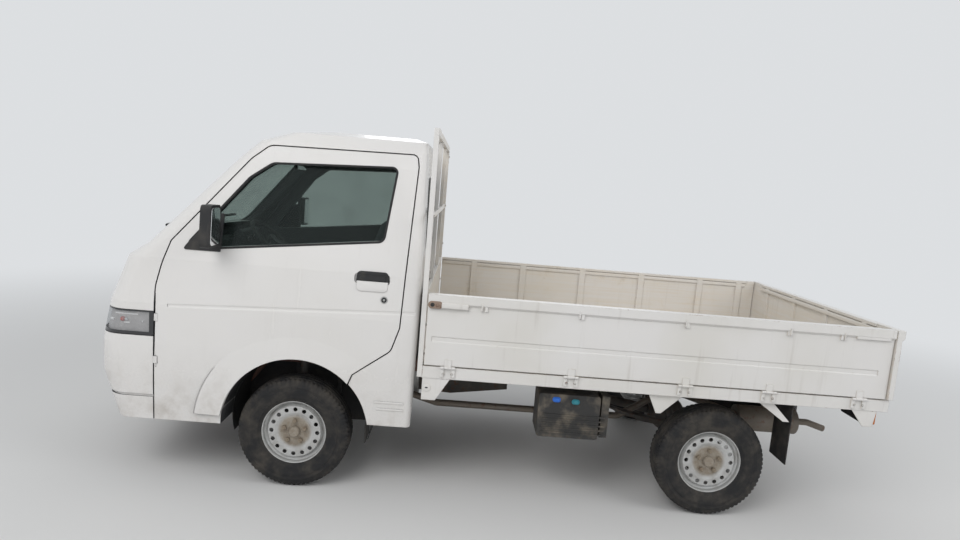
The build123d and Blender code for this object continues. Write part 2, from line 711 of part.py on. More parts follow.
def exhaust():
    """Pipe from the engine along the left rail to the silencer."""
    pipe = tube_along([(440, -225, 400), (720, -250, 330), (1820, -250, 330), (2060, -250, 480),
                       (2200, -260, 500), (2330, -410, 490), (2450, -exhaust_y, 465)], 20, 55)
    pipe += block(420, 470, -235, -190 - seat_gap, 385, 415)
    can = cylinder_x(2440, 2780, -exhaust_y, 455, 72)
    tail = tube_along([(2770, -exhaust_y, 455), (2860, -exhaust_y, 455), (2960, -exhaust_y, 425)], 18, 60)
    hanger = block(2590, 2620, -exhaust_y - 15, -exhaust_y + 15, 515, rail_top_z + seat_gap - 1)
    hanger += block(2590, 2620, -exhaust_y - 15, -rail_half_gap - rail_width - seat_gap, 600, 612)
    return pipe + can + tail + hanger


def cylinder_x(x0, x1, y, z, radius):
    """Round bar along the truck."""
    return rod((x0, y, z), (x1, y, z), radius)


def rear_axle():
    """Axle tube with its final drive and spring seats."""
    x = wheelbase
    end = track_rear / 2 - rim_width / 2 - 2
    tube = cylinder_y(x, tyre_radius, 34, -end, end)
    ball = Pos(x, 0, tyre_radius) * Sphere(112)
    nose = rod((x - 128, 0, tyre_radius + 18), (x - 60, 0, tyre_radius + 8), 48)
    axle = tube + ball + nose
    for y in (-leaf_y, leaf_y):
        axle += block(x - 60, x + 60, y - 34, y + 34, tyre_radius + 20, tyre_radius + 40)
        near, far = sorted((y * damper_inner_y / leaf_y, y * (damper_inner_y + 10) / leaf_y))
        axle += block(x - 86, x, near, far, tyre_radius - 16, tyre_radius + 16)
    return axle


def rear_springs():
    """Left leaf pack with its front hanger and its shackle, and the damper."""
    x = wheelbase
    seat = tyre_radius + 40 + seat_gap
    y0, y1 = -leaf_y - 30, -leaf_y + 30
    lowest = seat
    pack = None
    for step, reach in enumerate((560, 430, 300)):
        low = lowest + (2 - step) * 10 if step else lowest + 20
        leaf = leaf_bar(x, low, reach, y0, y1)
        pack = leaf if pack is None else pack + leaf
    eyes = cylinder_y(x - 560, seat + 105, 24, y0, y1) + cylinder_y(x + 560, seat + 105, 24, y0, y1)
    under = rail_top_z - rail_height - seat_gap
    hanger = along_y([(x - 620, under), (x - 500, under), (x - 535, seat + 95), (x - 585, seat + 95)],
                     y0 - 8, y0)
    hanger += along_y([(x - 620, under), (x - 500, under), (x - 535, seat + 95), (x - 585, seat + 95)],
                      y1, y1 + 8)
    shackle = along_y([(x + 530, under), (x + 600, under), (x + 590, seat + 90), (x + 535, seat + 90)],
                      y0 - 8, y0)
    shackle += along_y([(x + 530, under), (x + 600, under), (x + 590, seat + 90), (x + 535, seat + 90)],
                       y1, y1 + 8)
    return [pack + eyes + hanger + shackle, damper()]


def damper():
    """Left rear damper between the axle's plate and the side of the frame rail."""
    y = -(damper_inner_y + 10 + seat_gap)
    low = (wheelbase - 70, y - damper_radius, tyre_radius)
    high = (wheelbase - 190, y - damper_radius, rail_top_z - 46)
    bar = rod(low, high, damper_radius)
    bar += cylinder_y(low[0], low[2], 16, y - 2 * damper_radius, y)
    rail_side = -(rail_half_gap + rail_width + seat_gap)
    return bar + cylinder_y(high[0], high[2], 16, y - 2 * damper_radius, rail_side)


def leaf_bar(x, low, reach, y0, y1):
    """One leaf: a shallow arc of steel, thicker towards the axle."""
    rise = 95.0 * (reach / 560.0) ** 2
    lower = ThreePointArc((x - reach, y0, low + rise), (x, y0, low), (x + reach, y0, low + rise))
    upper = ThreePointArc((x - reach, y0, low + rise + 9), (x, y0, low + 9), (x + reach, y0, low + rise + 9))
    ends = [Line((x - reach, y0, low + rise), (x - reach, y0, low + rise + 9)),
            Line((x + reach, y0, low + rise), (x + reach, y0, low + rise + 9))]
    face = make_face([*lower.edges(), *upper.edges(), *ends[0].edges(), *ends[1].edges()])
    return extrude(face, amount=y1 - y0, dir=(0, 1, 0))


def spare_wheel():
    """Spare wheel lying under the rear of the bed, its carrier's stem joined to the wheel's disc."""
    barrel = spare_rim_width / 2
    wheel = tyre() + turned([(-barrel, 164), (-barrel, 20), (6 - barrel, 20), (10 - barrel, 150),
                             (barrel - 10, 150), (barrel, 164)])
    front, rear = spare_bar_ends
    carrier = block(front + seat_gap, rear - seat_gap, -25, 25, spare_bar_z, spare_bar_z + 22)
    carrier += block(spare_x - 25, spare_x + 25, -25, 25, spare_z - barrel + 2, spare_bar_z + 5)
    return Pos(spare_x, 0, spare_z) * Rot(90, 0, 0) * wheel + carrier


def cross_member_x(index):
    """Front face of one of the seven cross members under the bed."""
    return bed_front_x + (tailgate_inner_x - panel_gap - 60 - bed_front_x) / 6 * index


def bed_floor():
    """Bed floor on its cross members, with side rails, rear sill and hinge brackets."""
    edge = bed_rail_y
    rear = tailgate_inner_x - panel_gap
    floor = block(bed_front_x, rear, -gate_inner_y + panel_gap, gate_inner_y - panel_gap,
                  bed_floor_z - bed_floor_metal, bed_floor_z)
    bottom = hinge_z - bed_rail_height
    for side in (-1, 1):
        y0, y1 = sorted((side * edge, side * (edge - bed_rail_metal)))
        floor += block(bed_front_x, rear, y0, y1, bottom, hinge_z)
        y0, y1 = sorted((side * edge, side * (gate_inner_y - 60)))
        floor += block(bed_front_x, rear, y0, y1, hinge_z - 6, hinge_z)
    for i in range(7):
        x = cross_member_x(i)
        floor += block(x, x + 60, -edge + bed_rail_metal - 1, edge - bed_rail_metal + 1,
                       rail_top_z + seat_gap, bed_floor_z - bed_floor_metal + 1)
    floor += block(rear, tail_x - 2 * hinge_radius - 4, -edge, edge, rail_top_z + 5, hinge_z)
    pitch = 2 * (gate_inner_y - 40) / floor_groove_count
    for i in range(floor_groove_count):
        y = (i - (floor_groove_count - 1) / 2) * pitch
        floor -= block(bed_front_x + 40, rear - 40, y - floor_groove_width / 2, y + floor_groove_width / 2,
                       bed_floor_z - floor_groove_depth, bed_floor_z + 1)
    return floor


def side_gate():
    """Left side gate: flat panel with a rolled top lip, latches and hinge knuckles."""
    outline = [(-gate_inner_y, gate_bottom_z), (-gate_outer_y, gate_bottom_z),
               (-gate_outer_y, gate_top_z - gate_lip_height - 12), (-bed_half, gate_top_z - gate_lip_height),
               (-bed_half, gate_top_z), (-gate_inner_y, gate_top_z)]
    gate = along_x(outline, side_gate_front_x, side_gate_rear_x)
    gate -= along_x([(-gate_outer_y - 1, gate_groove_z - gate_groove_height / 2),
                     (-gate_outer_y - 1, gate_groove_z + gate_groove_height / 2),
                     (-gate_outer_y + gate_groove_depth, gate_groove_z + gate_groove_height / 2 - 6),
                     (-gate_outer_y + gate_groove_depth, gate_groove_z - gate_groove_height / 2 + 6)],
                    side_gate_front_x + 30, side_gate_rear_x - 60)
    for x in GATE_RIB_PLACES:
        gate += block(x, x + gate_rib_width, -gate_inner_y - 1, -gate_inner_y + gate_rib_proud,
                      bed_floor_z + 10, gate_top_z)
    gate += block(side_gate_front_x, side_gate_rear_x - gate_lip_end, -gate_inner_y - 1,
                  -gate_inner_y + gate_rib_proud, gate_top_z - 16, gate_top_z)
    for x in LATCH_PLACES:
        gate += block(x, x + latch_length, -bed_half + 1, -gate_outer_y + 1, latch_z - latch_height / 2,
                      latch_z + latch_height / 2)
    for x in TAB_PLACES:
        gate += block(x, x + 16, -bed_half + 3, -gate_outer_y + 1, 1024, gate_top_z - gate_lip_height)
    for x in HINGE_PLACES:
        gate += gate_knuckle(x)
    return gate


def gate_knuckle(x):
    """Middle knuckle of a side-gate hinge with its leaf and bore."""
    part = hinge_length / 2 - 20
    knuckle_bar = cylinder_x(x - part, x + part, -hinge_y, hinge_z, hinge_radius)
    leaf = block(x - part, x + part, -gate_outer_y - 4, -gate_outer_y + 4, hinge_z, gate_bottom_z + 34)
    bore = cylinder_x(x - part - 1, x + part + 1, -hinge_y, hinge_z, hinge_pin_radius + pin_gap)
    return knuckle_bar + leaf - bore


def hinge_brackets():
    """Outer knuckles and pins of the left gate's hinges, on plates against the side rail."""
    brackets = []
    part = hinge_length / 2
    inner = part - 20 + 1.0
    for x in HINGE_PLACES:
        bracket = cylinder_x(x - part, x + part, -hinge_y, hinge_z, hinge_pin_radius)
        for x0, x1 in ((x - part, x - inner), (x + inner, x + part)):
            bracket += cylinder_x(x0, x1, -hinge_y, hinge_z, hinge_radius)
            bracket += block(x0, x1, -bed_rail_y - 8, -bed_rail_y - seat_gap, hinge_z - 50, hinge_z + 2)
        brackets.append(bracket)
    return brackets


def tailgate():
    """Tailgate: flat panel with a rolled top lip, hinge knuckles and corner latches."""
    outline = [(tailgate_inner_x, gate_bottom_z), (tailgate_outer_x, gate_bottom_z),
               (tailgate_outer_x, gate_top_z - gate_lip_height - 12), (tail_x, gate_top_z - gate_lip_height),
               (tail_x, gate_top_z), (tailgate_inner_x, gate_top_z)]
    gate = along_y(outline, -bed_half, bed_half)
    gate -= along_y([(tailgate_outer_x + 1, gate_groove_z - gate_groove_height / 2),
                     (tailgate_outer_x + 1, gate_groove_z + gate_groove_height / 2),
                     (tailgate_outer_x - gate_groove_depth, gate_groove_z + gate_groove_height / 2 - 6),
                     (tailgate_outer_x - gate_groove_depth, gate_groove_z - gate_groove_height / 2 + 6)],
                    -bed_half + 90, bed_half - 90)
    for y in (-600, -200, 200, 600):
        gate += block(tailgate_inner_x - gate_rib_proud, tailgate_inner_x + 1, y - gate_rib_width / 2,
                      y + gate_rib_width / 2, bed_floor_z + 10, gate_top_z)
    gate += block(tailgate_inner_x - gate_rib_proud, tailgate_inner_x + 1, -tail_lip_half,
                  tail_lip_half, gate_top_z - 16, gate_top_z)
    part = hinge_length / 2 - 20
    x = tail_x - hinge_radius
    for y in TAIL_HINGE_PLACES:
        gate += cylinder_y(x, hinge_z, hinge_radius, y - part, y + part)
        gate += block(tailgate_outer_x - 4, tailgate_outer_x + 4, y - part, y + part, hinge_z,
                      gate_bottom_z + 34)
        gate -= cylinder_y(x, hinge_z, hinge_pin_radius + pin_gap, y - part - 1, y + part + 1)
    return gate


def tail_hinges():
    """Outer knuckles and pins of the tailgate's hinges, on the rear sill."""
    part = hinge_length / 2
    inner = part - 20 + 1.0
    x = tail_x - hinge_radius
    sill = x - 11.0
    pieces = []
    for y in TAIL_HINGE_PLACES:
        bracket = cylinder_y(x, hinge_z, hinge_pin_radius, y - part, y + part)
        for y0, y1 in ((y - part, y - inner), (y + inner, y + part)):
            bracket += cylinder_y(x, hinge_z, hinge_radius, y0, y1)
            bracket += block(sill + seat_gap, sill + 8, y0, y1, hinge_z - 50, hinge_z + 2)
        pieces.append(bracket)
    return pieces


def headboard():
    """Front panel of the bed with the guard frame that protects the rear window.

    The panel, the two posts, the top rail, the two bars and the middle rails are seated pieces.
    """
    x0, x1 = bed_front_x - guard_depth, bed_front_x - seat_gap
    bar_x0, bar_x1 = x0 + 2, x1 - 2
    outer, foot = gate_outer_y - 4, rail_top_z + seat_gap + 8
    inner = outer - guard_post_width
    top = overall_height - guard_post_width
    panel = block(x0 + 8, x1, -inner + seat_gap, inner - seat_gap, foot, gate_top_z)
    post = block(x0, x1, -outer, -inner, foot, top - seat_gap)
    top_rail = block(x0, x1, -outer, outer, top, overall_height)
    bar = block(bar_x0, bar_x1, -guard_bar_y, guard_bar_width - guard_bar_y,
                gate_top_z + seat_gap, top - seat_gap)
    half = guard_bar_width / 2
    rails = [block(bar_x0, bar_x1, y0 + seat_gap, y1 - seat_gap, guard_rail_z - half, guard_rail_z + half)
             for y0, y1 in ((-inner, -guard_bar_y), (guard_bar_width - guard_bar_y, guard_bar_y - guard_bar_width),
                            (guard_bar_y, inner))]
    return [panel, top_rail] + both(post) + both(bar) + rails


def on_screen(y, z, lift):
    """A point above the windscreen, lifted off it by the given amount."""
    share = (z - windscreen_base_z) / (1700.0 - windscreen_base_z)
    nose = -900.0 + 460.0 * share
    corner = -770.0 + 410.0 * share
    half = cab_half_width - 30.0 - 108.0 * share
    x = nose + (corner - nose) * (y / half) ** 2
    return (x - 0.716 * lift, y, z + 0.698 * lift)


def wipers():
    """Two wiper arms with their blades, parked along the foot of the windscreen."""
    arms = []
    for y in (-560.0, 40.0):
        pivot = on_screen(y + 330, 1246, 9)
        arm = rod(on_screen(y + 330, 1246, -1.0), on_screen(y + 330, 1246, 14), 12)
        arm += rod(pivot, on_screen(y + 120, 1300, 14), 7)
        arm += rod(on_screen(y, 1294, 14), on_screen(y + 460, 1306, 14), 8)
        arms.append(arm - Pos(-seat_gap, 0, 0) * cab_outer)
    return arms


def mud_flaps():
    """Rubber flaps behind the front and the rear wheels."""
    room = cylinder_y(arch_x, arch_z, arch_radius - seat_gap, -1000, 0)
    front = block(372, 377, -810, -660, 268, 425) & room
    rear_x = cross_member_x(5) - seat_gap
    rear = block(rear_x - 5, rear_x, -832, -650, 325, 700)
    return both(front) + both(rear)


def tail_lamps():
    """Lamp units hung under the rear sill."""
    x1 = tail_x - 2 * hinge_radius - 6
    lamp = block(x1 - 60, x1, -780, -560, 560, rail_top_z)
    return both(fillet(lamp.edges().filter_by(Axis.X), radius=10))


def bed_brackets():
    """Feet, gusset and brace under the left side of the bed."""
    y1 = -bed_rail_y + 2
    top = hinge_z - bed_rail_height - seat_gap
    foot_front = along_y([(653, top), (793, top), (724, 545), (653, 545)], y1, y1 + 5)
    foot_rear = along_y([(2880, top), (3010, top), (2998, 575), (2947, 575)], y1, y1 + 5)
    gusset = along_y([(1822, top), (2003, top), (1896, 558), (1870, 558)], y1 + 20, y1 + 25)
    brace = along_y([(2396, top), (2476, top), (2574, 562), (2540, 562)], y1 + 20, y1 + 25)
    return both(foot_front) + both(foot_rear) + both(gusset) + both(brace)


def keep(name, *shapes):
    """Moves the solids into the final frame and writes them as one node."""
    shift = Pos(front_overhang - overall_length / 2, 0, 0)
    solids = []
    for shape in shapes:
        pieces = shape if isinstance(shape, (list, tuple)) else [shape]
        for piece in pieces:
            solids += list((shift * piece).solids())
    export_step(Compound(children=solids) if len(solids) > 1 else solids[0], f"parts/{name}.step")
    print(name, len(solids))


def wheel_at(x, y, shape):
    """A wheel piece at its axle end; its outer side faces away from the middle."""
    placed = shape if y < 0 else other_side(shape)
    return Pos(x, y, tyre_radius) * placed


keep("cab_shell", cab_shell())
keep("front_bumper", front_bumper())
keep("front_grille", front_grille())
keep("headlamps", headlamps())
keep("front_lid", front_lid())
left_door = door()
left_glass = door_glass()
left_fittings = door_fittings()
keep("door_left", left_door)
keep("door_right", other_side(left_door))
keep("door_glass_left", left_glass)
keep("door_glass_right", other_side(left_glass))
keep("door_fittings_left", left_fittings)
keep("door_fittings_right", [other_side(piece) for piece in left_fittings])
keep("cab_glass", windscreen(), rear_window())
keep("seats", seats())
keep("dashboard", dashboard())
keep("steering_wheel", steering_wheel())
keep("engine", engine())
keep("driveline", driveline())
keep("radiator", radiator())
keep("chassis_frame", chassis_frame())
front_rim = rim(100, -6)
rear_rim = rim(104, 0)
wheel_tyre = tyre()
for side, sign in (("left", -1), ("right", 1)):
    keep(f"rim_front_{side}", wheel_at(0, sign * track_front / 2, front_rim))
    keep(f"rim_rear_{side}", wheel_at(wheelbase, sign * track_rear / 2, rear_rim))
    keep(f"tyre_front_{side}", wheel_at(0, sign * track_front / 2, wheel_tyre))
    keep(f"tyre_rear_{side}", wheel_at(wheelbase, sign * track_rear / 2, wheel_tyre))
left_knuckle = knuckle()
keep("knuckle_left", left_knuckle)
keep("knuckle_right", other_side(left_knuckle))
keep("front_suspension", front_suspension())
keep("battery_box", battery_box())
keep("fuel_tank", fuel_tank())
keep("exhaust", exhaust())
keep("rear_axle", rear_axle())
keep("rear_springs", [piece for shape in rear_springs() for piece in both(shape)])
keep("spare_wheel", spare_wheel())
keep("bed_floor", bed_floor())
left_gate = side_gate()
keep("gate_left", left_gate)
keep("gate_right", other_side(left_gate))
keep("tailgate", tailgate())
keep("hinge_brackets", both(Compound(children=hinge_brackets())), tail_hinges())
keep("headboard", headboard())
keep("wipers", wipers())
keep("mud_flaps", mud_flaps())
keep("tail_lamps", tail_lamps())
keep("bed_brackets", bed_brackets())
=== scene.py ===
"""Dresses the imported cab-over flat-deck truck: finishes, tyres, trim, upholstery and studio."""

import json
import logging
import math
from dataclasses import dataclass, field
from enum import Enum
from typing import Dict, List, Optional, Sequence, Tuple, Union

import bmesh
import bpy
from mathutils import Matrix, Vector
from mathutils.bvhtree import BVHTree
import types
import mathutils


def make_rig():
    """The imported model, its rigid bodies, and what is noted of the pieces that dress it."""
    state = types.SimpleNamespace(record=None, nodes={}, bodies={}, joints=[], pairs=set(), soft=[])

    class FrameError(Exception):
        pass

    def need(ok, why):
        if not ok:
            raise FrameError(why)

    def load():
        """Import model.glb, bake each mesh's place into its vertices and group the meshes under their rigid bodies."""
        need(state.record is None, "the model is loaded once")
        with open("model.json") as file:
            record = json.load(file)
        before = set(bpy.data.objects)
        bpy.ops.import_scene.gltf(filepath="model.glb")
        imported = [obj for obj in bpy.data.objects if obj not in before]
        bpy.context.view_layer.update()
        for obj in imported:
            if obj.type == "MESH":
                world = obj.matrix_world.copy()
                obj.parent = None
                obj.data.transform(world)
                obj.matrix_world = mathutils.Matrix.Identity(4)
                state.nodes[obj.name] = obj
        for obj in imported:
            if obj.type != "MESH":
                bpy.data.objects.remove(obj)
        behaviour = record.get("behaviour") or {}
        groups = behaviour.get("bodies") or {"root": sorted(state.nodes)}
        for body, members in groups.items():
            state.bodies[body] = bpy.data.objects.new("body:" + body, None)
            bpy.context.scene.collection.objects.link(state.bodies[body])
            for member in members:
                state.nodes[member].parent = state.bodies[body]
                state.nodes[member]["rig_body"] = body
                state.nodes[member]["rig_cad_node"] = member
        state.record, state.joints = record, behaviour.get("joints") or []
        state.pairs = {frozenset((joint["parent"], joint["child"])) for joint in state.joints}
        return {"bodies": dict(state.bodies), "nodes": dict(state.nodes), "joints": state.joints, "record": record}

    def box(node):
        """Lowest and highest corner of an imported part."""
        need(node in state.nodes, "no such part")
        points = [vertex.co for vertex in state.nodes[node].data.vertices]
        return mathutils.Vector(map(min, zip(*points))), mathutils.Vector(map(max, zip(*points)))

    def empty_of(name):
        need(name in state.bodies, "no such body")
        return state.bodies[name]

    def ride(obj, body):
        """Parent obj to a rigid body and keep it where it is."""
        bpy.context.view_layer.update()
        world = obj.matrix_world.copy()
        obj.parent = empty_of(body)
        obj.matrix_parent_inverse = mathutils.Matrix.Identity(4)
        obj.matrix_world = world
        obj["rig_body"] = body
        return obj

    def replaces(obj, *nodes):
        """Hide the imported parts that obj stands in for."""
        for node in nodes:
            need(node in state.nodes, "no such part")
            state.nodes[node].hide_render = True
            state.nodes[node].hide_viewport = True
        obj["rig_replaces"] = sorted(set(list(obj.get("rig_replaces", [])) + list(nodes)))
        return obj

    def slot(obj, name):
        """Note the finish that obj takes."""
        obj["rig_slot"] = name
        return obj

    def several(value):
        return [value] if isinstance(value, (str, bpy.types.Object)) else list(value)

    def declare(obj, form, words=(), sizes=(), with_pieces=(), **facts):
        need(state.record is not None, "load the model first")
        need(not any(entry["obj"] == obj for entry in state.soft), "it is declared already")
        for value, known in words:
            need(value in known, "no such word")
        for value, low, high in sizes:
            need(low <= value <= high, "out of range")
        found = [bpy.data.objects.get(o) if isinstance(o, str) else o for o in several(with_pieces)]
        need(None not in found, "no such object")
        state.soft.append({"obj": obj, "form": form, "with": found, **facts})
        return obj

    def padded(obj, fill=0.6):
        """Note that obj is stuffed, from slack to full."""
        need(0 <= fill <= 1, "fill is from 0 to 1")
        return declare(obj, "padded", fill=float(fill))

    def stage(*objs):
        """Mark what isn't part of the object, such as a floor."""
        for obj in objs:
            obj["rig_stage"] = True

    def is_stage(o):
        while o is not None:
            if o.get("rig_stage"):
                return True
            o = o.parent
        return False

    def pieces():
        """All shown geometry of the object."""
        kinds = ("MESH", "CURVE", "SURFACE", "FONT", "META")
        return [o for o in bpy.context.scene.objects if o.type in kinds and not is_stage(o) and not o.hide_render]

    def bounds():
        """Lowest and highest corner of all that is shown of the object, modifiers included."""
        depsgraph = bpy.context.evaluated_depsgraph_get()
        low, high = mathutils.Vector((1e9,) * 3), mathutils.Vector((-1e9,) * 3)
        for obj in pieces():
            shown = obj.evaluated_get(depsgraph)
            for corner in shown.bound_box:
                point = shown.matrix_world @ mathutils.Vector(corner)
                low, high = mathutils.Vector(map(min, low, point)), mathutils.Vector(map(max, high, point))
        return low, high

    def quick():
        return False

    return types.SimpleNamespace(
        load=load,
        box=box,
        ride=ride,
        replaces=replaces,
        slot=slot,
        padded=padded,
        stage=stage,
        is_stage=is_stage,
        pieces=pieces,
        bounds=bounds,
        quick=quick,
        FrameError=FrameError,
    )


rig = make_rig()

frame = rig.load()
CAD_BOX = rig.bounds()

log = logging.getLogger("truck")

Colour = Tuple[float, float, float]
Point = Tuple[float, float, float]
Flat = Tuple[float, float]
Span = Tuple[float, float]
Hit = Optional[Tuple[Vector, Vector]]
Mesh = bmesh.types.BMesh
Outline = Tuple[Flat, ...]
Value = Union["Sock", float, int]

LEFT, RIGHT = -1, 1
SIDES = {LEFT: "left", RIGHT: "right"}
UP, REARWARD = Vector((0, 0, 1)), Vector((1, 0, 0))


class Sock:
    """One output socket of a material, whose operators add the nodes of an expression."""

    def __init__(self, graph: "Graph", socket: bpy.types.NodeSocket) -> None:
        """Keeps the socket with the graph that it belongs to."""
        self.graph = graph
        self.socket = socket

    def _math(self, operation: str, *values: Value) -> "Sock":
        """Adds one Math node on the given values."""
        inputs = {i: v for i, v in enumerate(values)}
        return self.graph.node("ShaderNodeMath", {"operation": operation}, inputs)

    def __add__(self, other: Value) -> "Sock":
        """self + other."""
        return self._math("ADD", self, other)

    def __radd__(self, other: Value) -> "Sock":
        """other + self."""
        return self._math("ADD", other, self)

    def __sub__(self, other: Value) -> "Sock":
        """self - other."""
        return self._math("SUBTRACT", self, other)

    def __rsub__(self, other: Value) -> "Sock":
        """other - self."""
        return self._math("SUBTRACT", other, self)

    def __mul__(self, other: Value) -> "Sock":
        """self * other."""
        return self._math("MULTIPLY", self, other)

    def __rmul__(self, other: Value) -> "Sock":
        """other * self."""
        return self._math("MULTIPLY", other, self)

    def __truediv__(self, other: Value) -> "Sock":
        """self / other."""
        return self._math("DIVIDE", self, other)

    def __pow__(self, other: Value) -> "Sock":
        """self to the power of other."""
        return self._math("POWER", self, other)

    def __abs__(self) -> "Sock":
        """The size of self without its sign."""
        return self._math("ABSOLUTE", self)

    def sine(self) -> "Sock":
        """The sine of self, in radians."""
        return self._math("SINE", self)

    def either(self, other: Value) -> "Sock":
        """The larger of the two, which joins two masks."""
        return self._math("MAXIMUM", self, other)

    def dot(self, other: Union["Sock", Point]) -> "Sock":
        """The dot product of two vectors."""
        return self.graph.node("ShaderNodeVectorMath", {"operation": "DOT_PRODUCT"},
                               {0: self, 1: other}, "Value")

    def step(self, low: float, high: float) -> "Sock":
        """A soft step from 0 at low to 1 at high, or the other way round if low is the larger.

        Args:
            low: the value that gives 0.
            high: the value that gives 1.

        Returns:
            The mask, from 0 to 1.
        """
        settings = {"interpolation_type": "SMOOTHSTEP"}
        ends = (low, high, 0.0, 1.0) if low < high else (high, low, 1.0, 0.0)
        values = dict(zip(("Value", "From Min", "From Max", "To Min", "To Max"), (self, *ends)))
        return self.graph.node("ShaderNodeMapRange", settings, values)


class Graph:
    """The nodes of a material or a world, with short calls for the patterns of this truck."""

    def __init__(self, name: str, world: bool = False) -> None:
        """Starts an empty material, or world, of that name."""
        self.material = (bpy.data.worlds if world else bpy.data.materials).new(name)
        self.material.use_nodes = True
        self.tree = self.material.node_tree
        self.tree.nodes.clear()

    def node(self, kind: str, settings: Optional[Dict[str, object]] = None,
             values: Optional[Dict[Union[str, int], object]] = None,
             output: Union[str, int] = 0) -> Sock:
        """Adds any node.

        Args:
            kind: Blender's name of the node's type.
            settings: properties of the node, set before its sockets.
            values: plain values or sockets for its inputs, by name or number.
            output: the output to hand back.

        Returns:
            That output, wrapped.
        """
        made = self.tree.nodes.new(kind)
        for name, setting in (settings or {}).items():
            setattr(made, name, setting)
        for name, value in (values or {}).items():
            if isinstance(value, Sock):
                self.tree.links.new(value.socket, made.inputs[name])
            else:
                made.inputs[name].default_value = value
        return Sock(self, made.outputs[output] if made.outputs else None)

    def place(self) -> Sock:
        """The point's place on the truck at rest, in metres."""
        return self.node("ShaderNodeTexCoord", output="Object")

    def axes(self) -> Tuple[Sock, Sock, Sock]:
        """The three coordinates of the point's place."""
        spot = self.place()
        return tuple(self.node("ShaderNodeSeparateXYZ", None, {0: spot}, i) for i in range(3))

    def stretched(self, x: float, y: float, z: float) -> Sock:
        """The point's place with each axis multiplied by a number."""
        return self.node("ShaderNodeVectorMath", {"operation": "MULTIPLY"},
                         {0: self.place(), 1: (x, y, z)})

    def cloud(self, scale: float, detail: float = 4.0, rough: float = 0.55,
              where: Optional[Sock] = None) -> Sock:
        """Soft noise from 0 to 1.

        Args:
            scale: how many lumps to a metre.
            detail: how many finer layers are added.
            rough: how strong the finer layers are.
            where: the vector to read, or the point's place.

        Returns:
            The noise's strength.
        """
        values = {"Vector": where or self.place(), "Scale": scale, "Detail": detail,
                  "Roughness": rough}
        return self.node("ShaderNodeTexNoise", None, values)

    def cells(self, scale: float) -> Sock:
        """The distance to the nearest of scattered points, for chips and grain."""
        return self.node("ShaderNodeTexVoronoi", None, {"Vector": self.place(), "Scale": scale})

    def mix(self, factor: Value, first: object, second: object) -> Sock:
        """A colour between two colours, each a colour or a socket."""
        shades = [s if isinstance(s, Sock) else (*s, 1.0) for s in (first, second)]
        return self.node("ShaderNodeMix", {"data_type": "RGBA"},
                         {0: factor, 6: shades[0], 7: shades[1]}, 2)

    def bump(self, height: Sock, distance: float, strength: float = 1.0,
             below: Optional[Sock] = None) -> Sock:
        """A normal bent by a height.

        Args:
            height: the pattern, from 0 to 1.
            distance: how high 1 stands, in metres.
            strength: how much of it shows.
            below: a normal to bend further, such as a rounded edge's.

        Returns:
            The new normal.
        """
        values = {"Height": height, "Distance": distance, "Strength": strength}
        if below is not None:
            values["Normal"] = below
        return self.node("ShaderNodeBump", None, values)

    def soft_edge(self, radius: float) -> Sock:
        """The normal of a surface whose sharp edges are rounded."""
        return self.node("ShaderNodeBevel", {"samples": 4}, {"Radius": radius})

    def edge_wear(self, radius: float) -> Sock:
        """A mask that is high near sharp edges."""
        flat = self.node("ShaderNodeNewGeometry", output="Normal")
        return 1.0 - self.soft_edge(radius).dot(flat)

    def inside(self, centre: Point) -> Sock:
        """A mask of the faces of a hollow body that look towards its centre."""
        reach = self.node("ShaderNodeVectorMath", {"operation": "SUBTRACT"},
                          {0: self.place(), 1: centre})
        return reach.dot(self.node("ShaderNodeTexCoord", output="Normal")).step(0.0, -0.04)

    def surface(self, **values: object) -> bpy.types.Material:
        """Closes the material with a Principled shader.

        Args:
            values: its sockets, with spaces written as underscores.

        Returns:
            The finished material.
        """
        sockets = {}
        for name, value in values.items():
            plain_colour = isinstance(value, tuple) and len(value) == 3
            sockets[name.replace("_", " ")] = (*value, 1.0) if plain_colour else value
        return self.close(self.node("ShaderNodeBsdfPrincipled", None, sockets))

    def blend(self, factor: Value, first: Sock, second: Sock) -> Sock:
        """A shader between two shaders."""
        return self.node("ShaderNodeMixShader", None, {0: factor, 1: first, 2: second})

    def close(self, shader: Sock, kind: str = "Material") -> bpy.types.ID:
        """Ends the graph with its shader, and hands back the material or the world."""
        self.node(f"ShaderNodeOutput{kind}", None, {"Surface": shader})
        return self.material


class Wear(Enum):
    """How a painted panel has been used."""

    CAB = "washed and driven"
    DECK = "loaded and scratched"


